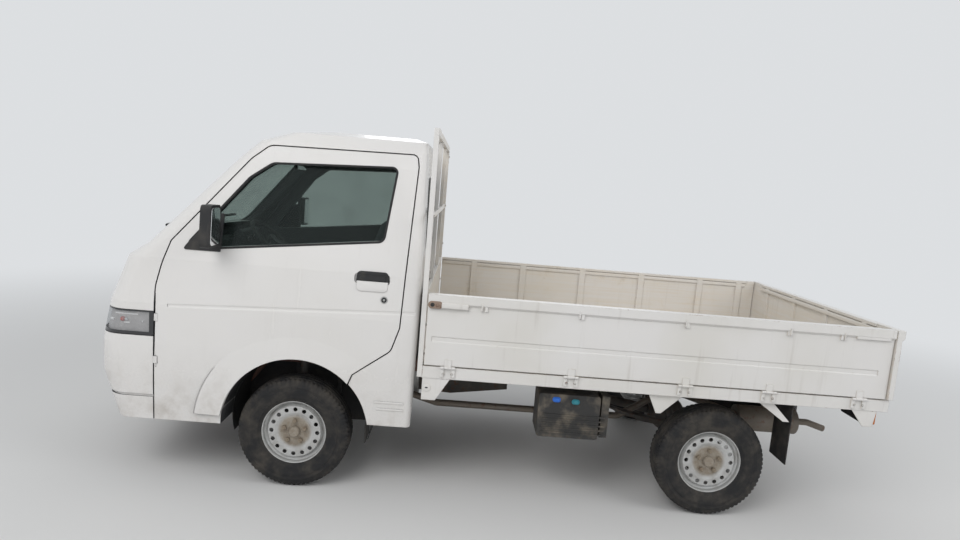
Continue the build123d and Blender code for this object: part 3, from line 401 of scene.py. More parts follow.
@dataclass(frozen=True)
class PanelPaint:
    """Gloss white body paint with road dirt low down, faint runs and a few rusty chips.

    On the cab, the faces that look inwards are trimmed in a near-black grey that also paints the
    shade inside the cab, and those round the wheels and under the floor are painted black as shade.
    """

    name: str
    wear: Wear = Wear.CAB
    colour: Colour = (0.735, 0.715, 0.695)
    aged: Colour = (0.66, 0.635, 0.585)
    bare: Colour = (0.69, 0.605, 0.485)
    dirt: Colour = (0.27, 0.22, 0.165)
    rust: Colour = (0.20, 0.072, 0.026)
    # trim: near-black grey that also paints the shade inside the cab
    trim: Colour = (0.045, 0.046, 0.049)
    headlining: Colour = (0.26, 0.255, 0.24)
    # painted shade: black for the faces round the wheel arches and under the floor
    painted_shade: Colour = (0.018, 0.018, 0.019)
    middle: Point = (-1.15, 0.0, 1.15)
    bed_middle: Point = (0.87, 0.0, 1.02)
    arch: Tuple[float, float, float] = (-0.9825, 0.320, 0.3795)
    arch_edge: float = 0.0006
    arch_y: Span = (0.822, 0.818)
    under_x: Span = (-1.700, -1.690)
    under_y: Span = (0.790, 0.780)
    under_z: Span = (0.762, 0.755)
    lining_z: Span = (1.66, 1.72)
    splash_z: Span = (0.74, 0.30)
    gloss: float = 0.24

    def make(self) -> bpy.types.Material:
        """Builds the material."""
        g = Graph(self.name)
        x, y, z = g.axes()
        deck = self.wear is Wear.DECK
        broad, fine = g.cloud(1.7, 3), g.cloud(38, 6, 0.7)
        runs = g.cloud(1.0, 4, 0.6, g.stretched(26, 26, 1.6))
        splash = z.step(*self.splash_z) * g.cloud(9, 5, 0.65).step(0.34, 0.80)
        film = splash * 0.50 + runs.step(0.56, 0.80) * (0.24 if deck else 0.06)
        edge = g.edge_wear(0.008).step(0.03, 0.30)
        spots = g.cloud(14, 6, 0.72)
        limit = (0.56, 0.66) if deck else (0.68, 0.76)
        rust = edge * spots.step(*limit)
        rust = rust.either(fine.step(0.69, 0.74) * spots.step(0.60, 0.70) * (0.9 if deck else 0.25))
        shade = g.mix(broad.step(0.35, 0.75) * (0.75 if deck else 0.25), self.colour, self.aged)
        shade = g.mix(film, shade, self.dirt)
        shade = g.mix(rust * 0.85, shade, self.rust)
        rough = self.gloss + film * 0.40 + rust * 0.45 + broad * (0.14 if deck else 0.04)
        coat = (1.0 - film - rust) * (0.15 if deck else 0.5)
        if deck:
            streaks = g.cloud(1.0, 6, 0.66, g.stretched(1.6, 2.2, 60))
            scuffs = g.cloud(5.0, 7, 0.72)
            worn = 0.25 + streaks.step(0.40, 0.70) * 0.35 + scuffs.step(0.50, 0.72) * 0.25
            worn = worn * g.inside(self.bed_middle)
            shade = g.mix(worn, shade, self.bare)
            shade = g.mix(worn * scuffs.step(0.60, 0.74) * 0.5, shade, self.dirt)
            rough = rough + worn * 0.3
        else:
            # inward faces take the dark trim, which also paints the shade inside the cab; headlining above
            inner = g.inside(self.middle)
            trim = g.mix(z.step(*self.lining_z), self.trim, self.headlining)
            # painted shade: black inside the wheel arches and under the floor
            arch_x, arch_z, radius = self.arch
            dx, dz = x - arch_x, z - arch_z
            arch = (dx * dx + dz * dz).step((radius + self.arch_edge) ** 2, radius ** 2)
            under = abs(y).step(*self.under_y) * z.step(*self.under_z) * x.step(*self.under_x)
            painted_shade_mask = (arch * abs(y).step(*self.arch_y)).either(under) * (1.0 - inner)
            shade = g.mix(painted_shade_mask, g.mix(inner, shade, trim), self.painted_shade)
            trim_and_shade_mask = painted_shade_mask.either(inner)
            rough = rough + trim_and_shade_mask * 0.4
            coat = coat * (1.0 - trim_and_shade_mask)
        normal = g.bump(g.cloud(160, 2), 0.0004, 0.10, g.soft_edge(0.004))
        return g.surface(Base_Color=shade, Roughness=rough, Normal=normal, Coat_Weight=coat,
                         Coat_Roughness=0.09)


@dataclass(frozen=True)
class MouldedPlastic:
    """Grained plastic with patches of dust."""

    name: str
    colour: Colour = (0.022, 0.022, 0.023)
    dust: Colour = (0.16, 0.145, 0.12)
    dusty: float = 0.35
    gloss: float = 0.55
    grain: float = 900.0

    def make(self) -> bpy.types.Material:
        """Builds the material."""
        g = Graph(self.name)
        patches = g.cloud(11, 5, 0.6).step(0.42, 0.80)
        shade = g.mix(patches * self.dusty, self.colour, self.dust)
        rough = self.gloss + patches * 0.2
        normal = g.bump(g.cells(self.grain), 0.0004, 0.35, g.soft_edge(0.002))
        return g.surface(Base_Color=shade, Roughness=rough, Normal=normal)


@dataclass(frozen=True)
class RoadMetal:
    """Painted or bare steel under the truck, with road dust and rust."""

    name: str
    colour: Colour = (0.035, 0.035, 0.037)
    dust: Colour = (0.21, 0.175, 0.13)
    rust: Colour = (0.15, 0.055, 0.022)
    dusty: float = 0.5
    rusty: float = 0.3
    metal: float = 0.0
    gloss: float = 0.5

    def make(self) -> bpy.types.Material:
        """Builds the material."""
        g = Graph(self.name)
        patches, spots = g.cloud(6, 6, 0.62), g.cloud(31, 7, 0.7)
        dust = patches.step(0.38, 0.72) * self.dusty
        rust = spots.step(0.52, 0.70) * self.rusty
        rust = rust.either(g.edge_wear(0.006).step(0.05, 0.4) * spots.step(0.42, 0.6) * self.rusty)
        shade = g.mix(rust, g.mix(dust, self.colour, self.dust), self.rust)
        rough = self.gloss + dust * 0.35 + rust * 0.3
        normal = g.bump(spots * 0.6 + g.cloud(220, 3) * 0.4, 0.0009, 0.4, g.soft_edge(0.003))
        return g.surface(Base_Color=shade, Roughness=rough, Normal=normal,
                         Metallic=self.metal * (1.0 - dust) * (1.0 - rust))


@dataclass(frozen=True)
class WheelSilver:
    """Silver wheel paint whose centre has turned to rusty gold."""

    name: str
    centre: Point
    colour: Colour = (0.56, 0.56, 0.55)
    tint: Colour = (0.33, 0.275, 0.205)
    rust: Colour = (0.17, 0.115, 0.07)
    dust: Colour = (0.17, 0.145, 0.11)
    centre_edge: Span = (0.095, 0.069)

    def make(self) -> bpy.types.Material:
        """Builds the material."""
        g = Graph(self.name)
        x, _, z = g.axes()
        dx, dz = x - self.centre[0], z - self.centre[2]
        radius = (dx * dx + dz * dz) ** 0.5
        spots = g.cloud(55, 6, 0.68)
        hub = radius.step(*self.centre_edge)
        rust = (hub * spots.step(0.42, 0.62) * 0.4).either(spots.step(0.64, 0.74) * 0.3)
        grime = g.cloud(17, 4).step(0.40, 0.75) * 0.35
        shade = g.mix(hub * 0.8, self.colour, self.tint)
        shade = g.mix(rust, g.mix(grime, shade, self.dust), self.rust)
        return g.surface(Base_Color=shade, Roughness=0.36 + grime * 0.5 + rust * 0.35,
                         Metallic=(1.0 - grime) * (1.0 - rust) * 0.55,
                         Normal=g.bump(spots, 0.0004, 0.3, g.soft_edge(0.002)))


@dataclass(frozen=True)
class TyreRubber:
    """Tyre rubber with a dusty tread and faded side walls."""

    name: str
    colour: Colour = (0.017, 0.017, 0.018)
    dust: Colour = (0.115, 0.10, 0.082)

    def make(self) -> bpy.types.Material:
        """Builds the material."""
        g = Graph(self.name)
        dust = g.cloud(13, 5, 0.6).step(0.34, 0.80) * 0.55
        shade = g.mix(dust, self.colour, self.dust)
        return g.surface(Base_Color=shade, Roughness=0.66 + dust * 0.25, Specular_IOR_Level=0.35,
                         Normal=g.bump(g.cloud(420, 4), 0.0005, 0.4))


@dataclass(frozen=True)
class ClearGlass:
    """Thin window glass, lightly tinted and dusty."""

    name: str
    colour: Colour = (0.035, 0.045, 0.043)
    tint: Colour = (0.80, 0.85, 0.83)
    clear: float = 0.80
    gloss: float = 0.03

    def make(self) -> bpy.types.Material:
        """Builds the material."""
        g = Graph(self.name)
        film = g.cloud(5, 5, 0.6).step(0.40, 0.85) * 0.07
        glass = g.node("ShaderNodeBsdfPrincipled", None, {
            "Base Color": (*self.colour, 1.0), "Roughness": self.gloss,
            "Specular IOR Level": 0.6})
        through = g.node("ShaderNodeBsdfTransparent", None, {"Color": (*self.tint, 1.0)})
        return g.close(g.blend(self.clear - film, glass, through))


@dataclass(frozen=True)
class LampLens:
    """Moulded lamp plastic, clear or coloured, with fine flutes and a dark housing round it.

    The housing covers what lies outside the given heights, and behind or ahead of a limit along
    the truck.
    """

    name: str
    colour: Colour = (0.80, 0.81, 0.82)
    clear: float = 0.88
    flutes: float = 260.0
    dust: Colour = (0.42, 0.40, 0.34)
    rim: Colour = (0.022, 0.022, 0.024)
    heights: Optional[Span] = None
    behind: Optional[float] = None
    ahead: Optional[float] = None
    outer: Optional[Tuple[float, Colour]] = None
    line: float = 0.001

    def make(self) -> bpy.types.Material:
        """Builds the material."""
        g = Graph(self.name)
        x, y, z = g.axes()
        ribs = (y * self.flutes).sine() * 0.5 + 0.5
        haze = g.cloud(24, 4).step(0.45, 0.85) * 0.2
        housing = haze * 0.0
        if self.heights:
            low, high = self.heights
            housing = z.step(low + self.line, low).either(z.step(high - self.line, high))
        if self.behind is not None:
            housing = housing.either(x.step(self.behind - self.line, self.behind))
        if self.ahead is not None:
            housing = housing.either(x.step(self.ahead + self.line, self.ahead))
        shade = g.mix(haze, self.colour, self.dust)
        if self.outer:
            limit, beyond = self.outer
            shade = g.mix(abs(y).step(limit - self.line, limit), shade, beyond)
        shade = g.mix(housing, shade, self.rim)
        lens = g.node("ShaderNodeBsdfPrincipled", None, {
            "Base Color": shade, "Roughness": 0.10 + housing * 0.3,
            "Normal": g.bump(ribs * (1.0 - housing), 0.0006, 0.5), "Coat Weight": 0.6})
        through = g.node("ShaderNodeBsdfTransparent", None, {"Color": (*self.colour, 1.0)})
        return g.close(g.blend((1.0 - housing) * (self.clear - haze), lens, through))


@dataclass(frozen=True)
class SeatCloth:
    """Woven dark grey seat cloth."""

    name: str
    colour: Colour = (0.040, 0.042, 0.047)
    thread: Colour = (0.105, 0.11, 0.118)
    pitch: float = 900.0

    def make(self) -> bpy.types.Material:
        """Builds the material."""
        g = Graph(self.name)
        x, y, z = g.axes()
        warp = (y * self.pitch).sine()
        weft = ((x + z) * self.pitch).sine()
        weave = warp * weft * 0.5 + 0.5
        fade = g.cloud(7, 4).step(0.35, 0.80)
        shade = g.mix(weave * 0.35 + fade * 0.25, self.colour, self.thread)
        return g.surface(Base_Color=shade, Roughness=0.9, Sheen_Weight=0.15,
                         Normal=g.bump(weave, 0.0005, 0.3))


class Paints:
    """Makes each finish once and hands it out by its name."""

    finishes = {f.name: f for f in (
        PanelPaint("cab_white"),
        PanelPaint("deck_white", Wear.DECK),
        MouldedPlastic("black_plastic"),
        # dark grey inside plastic, darkened further as painted shade inside the cab
        MouldedPlastic("inside_grey", (0.048, 0.050, 0.053), dusty=0.15, gloss=0.6),
        MouldedPlastic("headlining", (0.26, 0.255, 0.24), dusty=0.1, gloss=0.8),
        MouldedPlastic("dusty_box", (0.03, 0.029, 0.028), (0.25, 0.21, 0.16), dusty=0.75),
        MouldedPlastic("seal_rubber", (0.016, 0.016, 0.017), dusty=0.25, gloss=0.62, grain=400.0),
        MouldedPlastic("belt_webbing", (0.035, 0.036, 0.038), dusty=0.1, gloss=0.8, grain=1400.0),
        MouldedPlastic("dark_grille", (0.012, 0.012, 0.013), dusty=0.5),
        MouldedPlastic("blue_cap", (0.02, 0.15, 0.62), dusty=0.15, gloss=0.42),
        MouldedPlastic("teal_cap", (0.03, 0.22, 0.27), dusty=0.4, gloss=0.5),
        MouldedPlastic("plate_white", (0.62, 0.62, 0.60), dusty=0.3, gloss=0.4, grain=300.0),
        MouldedPlastic("lamp_bowl", (0.47, 0.445, 0.435), dusty=0.1, gloss=0.20, grain=200.0),
        # lamp_gleam: near-white strips that are painted highlights in the headlamps
        MouldedPlastic("lamp_gleam", (0.92, 0.90, 0.88), dusty=0.0, gloss=0.12, grain=200.0),
        RoadMetal("mirror_silver", (0.80, 0.81, 0.82), dusty=0.05, rusty=0.0, metal=1.0,
                  gloss=0.04),
        RoadMetal("chassis_black"),
        RoadMetal("cast_iron", (0.06, 0.055, 0.05), rusty=0.6, gloss=0.6),
        # the frame's colour: a dark reddish brown, with dust and rust
        RoadMetal("red_primer", (0.135, 0.045, 0.028), rusty=0.25, dusty=0.40),
        RoadMetal("pipe_steel", (0.20, 0.175, 0.15), rusty=0.6, metal=0.6),
        RoadMetal("zinc", (0.50, 0.50, 0.49), rusty=0.2, dusty=0.25, metal=0.85, gloss=0.35),
        RoadMetal("worn_bolts", (0.60, 0.59, 0.56), rusty=0.85, dusty=0.4, metal=0.1, gloss=0.45),
        RoadMetal("worn_nuts", (0.30, 0.25, 0.19), rusty=0.3, dusty=0.2, metal=0.4, gloss=0.4),
        RoadMetal("rusty_plate", (0.30, 0.22, 0.17), rusty=0.9, dusty=0.2, metal=0.2, gloss=0.5),
        RoadMetal("wheel_grey", (0.42, 0.42, 0.41), rusty=0.35, dusty=0.5, metal=0.5, gloss=0.4),
        RoadMetal("alloy", (0.42, 0.42, 0.41), rusty=0.05, metal=0.8),
        TyreRubber("rubber"),
        ClearGlass("glass"),
        LampLens("lamp_clear", heights=(0.781, 0.884), behind=-1.727),
        LampLens("lamp_amber", (0.42, 0.07, 0.055), clear=0.0),
        LampLens("lamp_red", (0.45, 0.012, 0.010), clear=0.10, ahead=2.066,
                 outer=(0.725, (0.60, 0.17, 0.02))),
        SeatCloth("seat_cloth"),
    )}

    def __init__(self) -> None:
        """Starts with nothing made."""
        self.made: Dict[str, bpy.types.Material] = {}

    def get(self, name: str) -> bpy.types.Material:
        """The material of that name, made on first use."""
        if name not in self.made:
            self.made[name] = self.finishes[name].make()
        return self.made[name]

    def add(self, finish: object) -> bpy.types.Material:
        """Makes a finish that belongs to one piece only."""
        self.made[finish.name] = finish.make()
        return self.made[finish.name]

    def dress(self, thing: bpy.types.Object, material: bpy.types.Material) -> None:
        """Gives the whole of an object one material."""
        thing.data.materials.clear()
        thing.data.materials.append(material)
        for face in thing.data.polygons:
            face.material_index = 0


@dataclass
class Shop:
    """Turns mesh data into named pieces that ride on the truck."""

    paints: Paints = field(default_factory=Paints)

    def piece(self, name: str, mesh: Mesh, finish: str, body: str = "chassis",
              smooth: bool = True, slot: Optional[str] = None) -> bpy.types.Object:
        """Makes a mesh into a piece.

        Args:
            name: the piece's name.
            mesh: its mesh, which is used up.
            finish: the name of its finish.
            body: the body that carries it.
            smooth: whether its gentle edges are shaded smooth.
            slot: the record's material slot, if it has one.

        Returns:
            The new object.
        """
        data = bpy.data.meshes.new(name)
        bmesh.ops.recalc_face_normals(mesh, faces=mesh.faces[:])
        mesh.to_mesh(data)
        mesh.free()
        thing = bpy.data.objects.new(name, data)
        bpy.context.scene.collection.objects.link(thing)
        if smooth:
            data.shade_smooth()
            data.set_sharp_from_angle(angle=math.radians(38))
        self.paints.dress(thing, self.paints.get(finish))
        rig.ride(thing, body)
        if slot:
            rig.slot(thing, slot)
        log.info("%s: %d faces on %s, %s", name, len(data.polygons), body, finish)
        return thing


def turns(count: int) -> List[float]:
    """The angles of one full turn in equal steps."""
    return [2 * math.pi * k / count for k in range(count)]


def loft(mesh: Mesh, rings: Sequence[List[bmesh.types.BMVert]], wrap: bool = False,
         caps: bool = True) -> None:
    """Joins closed rings of vertices with faces.

    Args:
        mesh: the mesh to add to.
        rings: the rings, in order.
        wrap: whether the last ring is joined to the first.
        caps: whether the first and the last ring are filled.
    """
    for a, b in zip(rings, [*rings[1:], rings[0]] if wrap else rings[1:]):
        for j in range(len(a)):
            k = (j + 1) % len(a)
            mesh.faces.new((a[j], a[k], b[k], b[j]))
    if caps and not wrap:
        mesh.faces.new(rings[0][::-1])
        mesh.faces.new(rings[-1])


def rounded_box(mesh: Mesh, low: Point, high: Point, radius: float = 0.002, steps: int = 2) -> None:
    """Adds a box with rounded edges.

    Args:
        mesh: the mesh to add to.
        low: one corner.
        high: the opposite corner.
        radius: the size of its rounds.
        steps: the number of faces across a round.
    """
    low, high = Vector(low), Vector(high)
    size = high - low
    place = Matrix.Translation((low + high) / 2) @ Matrix.Diagonal((*[abs(s) for s in size], 1.0))
    made = bmesh.ops.create_cube(mesh, size=1.0, matrix=place)
    edges = list({e for v in made["verts"] for e in v.link_edges})
    limit = min(abs(s) for s in size) * 0.49
    bmesh.ops.bevel(mesh, geom=edges, offset=min(radius, limit), segments=steps, profile=0.5,
                    affect="EDGES")


def off(place: Vector, x: float = 0.0, y: float = 0.0, z: float = 0.0) -> Vector:
    """A point moved along the three axes."""
    return place + Vector((x, y, z))


def round_bar(mesh: Mesh, start: Point, end: Point, radius: float, tip: float = 0.0,
              sides: int = 20) -> None:
    """Adds a round bar between two points, with an optional chamfer at both ends."""
    start = Vector(start)
    axis = Vector(end) - start
    turn = axis.to_track_quat("Z", "Y").to_matrix()
    stations = [(0.0, radius), (axis.length, radius)]
    if tip:
        stations = [(0.0, radius - tip), (tip, radius), (axis.length - tip, radius),
                    (axis.length, radius - tip)]
    loft(mesh, [[mesh.verts.new(start + turn @ Vector((r * math.cos(a), r * math.sin(a), along)))
                 for a in turns(sides)] for along, r in stations])


def ball(mesh: Mesh, centre: Vector, radius: float, sides: int, rows: int,
         stretch: float = 1.0) -> None:
    """Adds a ball, stretched upwards if asked."""
    place = Matrix.Translation(centre) @ Matrix.Diagonal((1, 1, stretch, 1))
    bmesh.ops.create_uvsphere(mesh, u_segments=sides, v_segments=rows, radius=radius,
                              matrix=place)


AXLE_X = -0.9875


def spot(x: float, y: float, z: float) -> Vector:
    """A point given by its distances behind the front axle, to the truck's right and up."""
    return Vector((AXLE_X + x, y, z))


class Skin:
    """Finds points on the surface of CAD nodes by straight shots."""

    def __init__(self, *nodes: str) -> None:
        """Reads the nodes' meshes."""
        self.trees = []
        for name in nodes:
            data = frame["nodes"][name].data
            faces = [tuple(face.vertices) for face in data.polygons]
            self.trees.append(BVHTree.FromPolygons([v.co.copy() for v in data.vertices], faces))

    def shoot(self, start: Vector, toward: Vector) -> Hit:
        """The first point met from a start along a direction.

        Args:
            start: where the shot starts.
            toward: its direction.

        Returns:
            The point and the surface's normal there, facing the start, or None.
        """
        best = None
        for tree in self.trees:
            place, normal, _, distance = tree.ray_cast(start, toward.normalized())
            if place is not None and (best is None or distance < best[2]):
                best = (place, normal if normal.dot(toward) < 0 else -normal, distance)
        return best[:2] if best else None

    def beside(self, side: int, x: float, z: float) -> Hit:
        """The first point met from one side of the truck."""
        return self.shoot(spot(x, side * 1.2, z), Vector((0, -side, 0)))

    def within(self, side: int, x: float, z: float) -> Hit:
        """The first point met from inside the cab towards one side."""
        return self.shoot(spot(x, side * 0.2, z), Vector((0, side, 0)))


def oblong(w: float, h: float, radius: float) -> List[Vector]:
    """The outline of a rectangle about 0 with round corners, from its half width and height."""
    return rounded_outline([(-w, -h), (w, -h), (w, h), (-w, h)], radius)


def rounded_outline(points: Sequence[Flat], rounds: Union[float, Sequence[float]],
                    steps: int = 6) -> List[Vector]:
    """A closed outline with arcs at its corners.

    Args:
        points: its corners.
        rounds: the radius at each corner, or one for all.
        steps: the number of runs in an arc.

    Returns:
        The points of the outline.
    """
    sizes = list(rounds) if isinstance(rounds, (list, tuple)) else [rounds] * len(points)
    out = []
    for i, (corner, radius) in enumerate(zip(points, sizes)):
        here = Vector(corner)
        if radius <= 0:
            out.append(here)
            continue
        back = (Vector(points[i - 1]) - here).normalized()
        on = (Vector(points[(i + 1) % len(points)]) - here).normalized()
        half = back.angle(on) / 2
        centre = here + (back + on).normalized() * (radius / math.sin(half))
        first = here + back * (radius / math.tan(half)) - centre
        last = here + on * (radius / math.tan(half)) - centre
        turn = first.angle(last)
        for k in range(steps + 1):
            t = k / steps
            out.append(centre + (first * math.sin((1 - t) * turn) + last * math.sin(t * turn))
                       / math.sin(turn))
    return out


def grown(path: List[Vector], amount: float) -> List[Vector]:
    """A closed outline moved outwards by an amount."""
    count = len(path)
    area = sum(path[i - 1].x * path[i].y - path[i].x * path[i - 1].y for i in range(count))
    sign = 1.0 if area > 0 else -1.0
    out = []
    for i, point in enumerate(path):
        run = path[(i + 1) % count] - path[i - 1]
        out.append(point + Vector((run.y, -run.x)).normalized() * sign * amount)
    return out


def divided(path: List[Vector], pitch: float, closed: bool = True) -> List[Vector]:
    """The same line with a point at least every pitch."""
    out = []
    ends = path[1:] + path[:1] if closed else path[1:]
    for a, b in zip(path, ends):
        count = max(1, math.ceil((b - a).length / pitch))
        out += [a.lerp(b, k / count) for k in range(count)]
    return out if closed else out + [path[-1]]


def ribbon(mesh: Mesh, spots: List[Vector], outs: List[Vector], width: float,
           height: float, closed: bool = True, sink: float = 0.002) -> None:
    """Adds a raised strip that follows a line on a surface.

    Args:
        mesh: the mesh to add to.
        spots: the points of the line.
        outs: the surface's normal at each.
        width: the strip's width.
        height: how far it stands proud.
        closed: whether the line is a loop.
        sink: how far it reaches into the surface.
    """
    section = [(-0.5, -sink), (-0.5, height * 0.55), (-0.28, height), (0.28, height),
               (0.5, height * 0.55), (0.5, -sink)]
    rings, count = [], len(spots)
    for i, (here, out) in enumerate(zip(spots, outs)):
        a = spots[i - 1] if closed or i else spots[i]
        b = spots[(i + 1) % count] if closed or i < count - 1 else spots[i]
        side = (b - a).cross(out).normalized()
        rings.append([mesh.verts.new(here + side * s * width + out * h) for s, h in section])
    loft(mesh, rings, closed)


def bar_along(mesh: Mesh, points: Sequence[Vector], radius: float, sides: int = 10) -> None:
    """Adds a round bar that follows a line, closed at both ends."""
    rings, count = [], len(points)
    across = None
    for i, here in enumerate(points):
        run = (points[min(i + 1, count - 1)] - points[max(i - 1, 0)]).normalized()
        if across is None:
            across = run.orthogonal().normalized()
        across = (across - run * across.dot(run)).normalized()
        up = run.cross(across)
        rings.append([mesh.verts.new(here + (across * math.cos(a) + up * math.sin(a)) * radius)
                      for a in turns(sides)])
    loft(mesh, rings)


def slab(mesh: Mesh, outline: Sequence[Vector], depth: Vector, edge: float = 0.0015,
         crown: float = 0.0) -> None:
    """Adds a flat piece with a softened front edge.

    Args:
        mesh: the mesh to add to.
        outline: the corners of its back face, in order.
        depth: the vector from its back to its front.
        edge: the width of the softened edge.
        crown: how far its middle bulges beyond its front.
    """
    centre = sum(outline, Vector()) / len(outline)
    out = depth.normalized()
    levels = [(0.0, 0.0), (depth.length - edge, 0.0), (depth.length - edge * 0.3, edge * 0.7)]
    levels.append((depth.length, edge * 1.6))
    if crown:
        reach = min((p - centre).length for p in outline)
        levels += [(depth.length + crown * 0.7, reach * 0.35), (depth.length + crown, reach * 0.7)]
    loft(mesh, [[mesh.verts.new(p + (centre - p).normalized() * drawn + out * high)
                 for p in outline] for high, drawn in levels])


def hexagon_bolt(mesh: Mesh, place: Vector, out: Vector, size: float = 0.008) -> None:
    """Adds a hexagon bolt head on its washer, pointing out of a surface."""
    out = out.normalized()
    round_bar(mesh, place - out * 0.001, place + out * size * 0.22, size * 1.25, size * 0.06, 20)
    round_bar(mesh, place, place + out * size * 0.75, size * 0.85, size * 0.12, 6)


@dataclass(frozen=True)
class RoadTyre:
    """A small commercial tyre: grooved crown, cut shoulders and ribbed side walls."""

    radius: float = 0.292
    half_width: float = 0.0825
    bead: float = 0.1665
    pitches: int = 72
    groove_depth: float = 0.0065
    cut_depth: float = 0.0048
    slit_depth: float = 0.0022
    lining: Flat = (0.012, 0.045)

    def outline(self) -> List[Tuple[float, float, str]]:
        """The half section from the bead out to the middle of the tread.

        Returns:
            Points of (radius, distance from the middle plane, zone).
        """
        r, w = self.radius, self.half_width
        wall = [(self.bead, w - 0.026, "bead"), (self.bead + 0.006, w - 0.0215, "bead"),
                (self.bead + 0.016, w - 0.0165, "bead"), (self.bead + 0.020, w - 0.0120, "wall"),
                (self.bead + 0.024, w - 0.0105, "wall"), (self.bead + 0.028, w - 0.0108, "wall"),
                (self.bead + 0.044, w - 0.0030, "wall"), (self.bead + 0.060, w, "wall"),
                (self.bead + 0.0635, w, "wall"), (self.bead + 0.066, w - 0.0022, "wall"),
                (self.bead + 0.080, w - 0.0025, "wall"), (self.bead + 0.0835, w - 0.0010, "wall"),
                (self.bead + 0.087, w - 0.0040, "wall"), (r - 0.025, w - 0.0060, "wall"),
                (r - 0.019, w - 0.0085, "shoulder"), (r - 0.012, w - 0.0120, "shoulder"),
                (r - 0.0065, w - 0.0170, "shoulder"), (r - 0.0038, w - 0.0240, "shoulder"),
                (r - 0.0026, w - 0.0330, "shoulder")]
        tread, d = [], self.groove_depth
        for a, b in ((0.0475, 0.0415), (0.0195, 0.0135)):
            crown = r - 0.0016 if a > 0.03 else r - 0.0003
            tread += [(crown, a, "rib"), (crown - d, a - 0.0012, "groove"),
                      (crown - d, b + 0.0012, "groove"), (crown, b, "rib")]
        return wall + tread + [(r, 0.006, "rib"), (r, 0.0, "rib")]

    def build(self, centre: Vector) -> Mesh:
        """Turns the section about the wheel's axis, and cuts the shoulders at every pitch."""
        half = self.outline()
        full = [(r, -w, z) for r, w, z in half] + [(r, w, z) for r, w, z in half[-2::-1]]
        per = 5
        steps = self.pitches * per
        mesh = bmesh.new()
        rings = []
        for i in range(steps):
            a, phase = 2 * math.pi * i / steps, i % per
            ring = []
            for r, w, zone in full:
                cut = zone == "shoulder" and phase in (0, 1)
                slit = zone == "rib" and phase == 0 and abs(w) > 0.02
                depth = self.cut_depth if cut else self.slit_depth if slit else 0.0
                spot = Vector(((r - depth) * math.cos(a), w, (r - depth) * math.sin(a)))
                ring.append(mesh.verts.new(centre + spot))
            rings.append(ring)
        for i in range(steps):
            a, b = rings[i], rings[(i + 1) % steps]
            for j in range(len(full) - 1):
                mesh.faces.new((a[j], b[j], b[j + 1], a[j + 1]))
        high, wide = self.lining
        inner = [(self.bead + high, -wide), (self.bead + high, wide)]
        lining = [[mesh.verts.new(centre + Vector((r * math.cos(t), w, r * math.sin(t))))
                   for r, w in inner] for t in turns(steps)]
        for i in range(steps):
            a, b, p, q = rings[i], rings[(i + 1) % steps], lining[i], lining[(i + 1) % steps]
            mesh.faces.new((a[0], p[0], q[0], b[0]))
            mesh.faces.new((p[0], p[1], q[1], q[0]))
            mesh.faces.new((p[1], a[-1], b[-1], q[1]))
        return mesh


@dataclass(frozen=True)
class Wheels:
    """Tyres in place of the plain ones, with wheel nuts on their studs."""

    ends: Tuple[str, ...] = ("front", "rear")
    disc_depth: float = 0.0225
    nut_circle: float = 0.057
    nut_count: int = 5
    nut_turn: float = 0.25
    nut: Flat = (0.0125, 0.019)
    stud: Flat = (0.0062, 0.026)

    def build(self, shop: Shop) -> None:
        """Dresses the four road wheels."""
        for end in self.ends:
            for side, hand in SIDES.items():
                self.dress(shop, f"{end}_{hand}", side)

    def dress(self, shop: Shop, place: str, side: int) -> None:
        """Makes one wheel's tyre and nuts, and paints its rim."""
        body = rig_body(f"tyre_{place}")
        low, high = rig.box(f"tyre_{place}")
        centre = (low + high) / 2
        tyre = shop.piece(f"road_tyre_{place}", RoadTyre().build(centre), "rubber", body)
        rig.replaces(tyre, f"tyre_{place}")
        rim = frame["nodes"][f"rim_{place}"]
        shop.paints.dress(rim, shop.paints.add(WheelSilver(f"silver_{place}", tuple(centre))))
        self.nuts(shop, place, body, centre, side)

    def nuts(self, shop: Shop, place: str, body: str, centre: Vector, side: int) -> None:
        """Makes the ring of nuts and their studs."""
        low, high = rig.box(f"rim_{place}")
        face = (low.y if side < 0 else high.y) - side * self.disc_depth
        (size, height), (thin, reach) = self.nut, self.stud
        mesh = bmesh.new()
        for i in range(self.nut_count):
            a = 2 * math.pi * (i + self.nut_turn) / self.nut_count
            x = centre.x + self.nut_circle * math.cos(a)
            z = centre.z + self.nut_circle * math.sin(a)
            round_bar(mesh, (x, face, z), (x, face + side * height, z), size, 0.002, 6)
            round_bar(mesh, (x, face + side * (height - 0.001), z), (x, face + side * reach, z),
                      thin, 0.001)
        shop.piece(f"wheel_nuts_{place}", mesh, "worn_nuts", body)


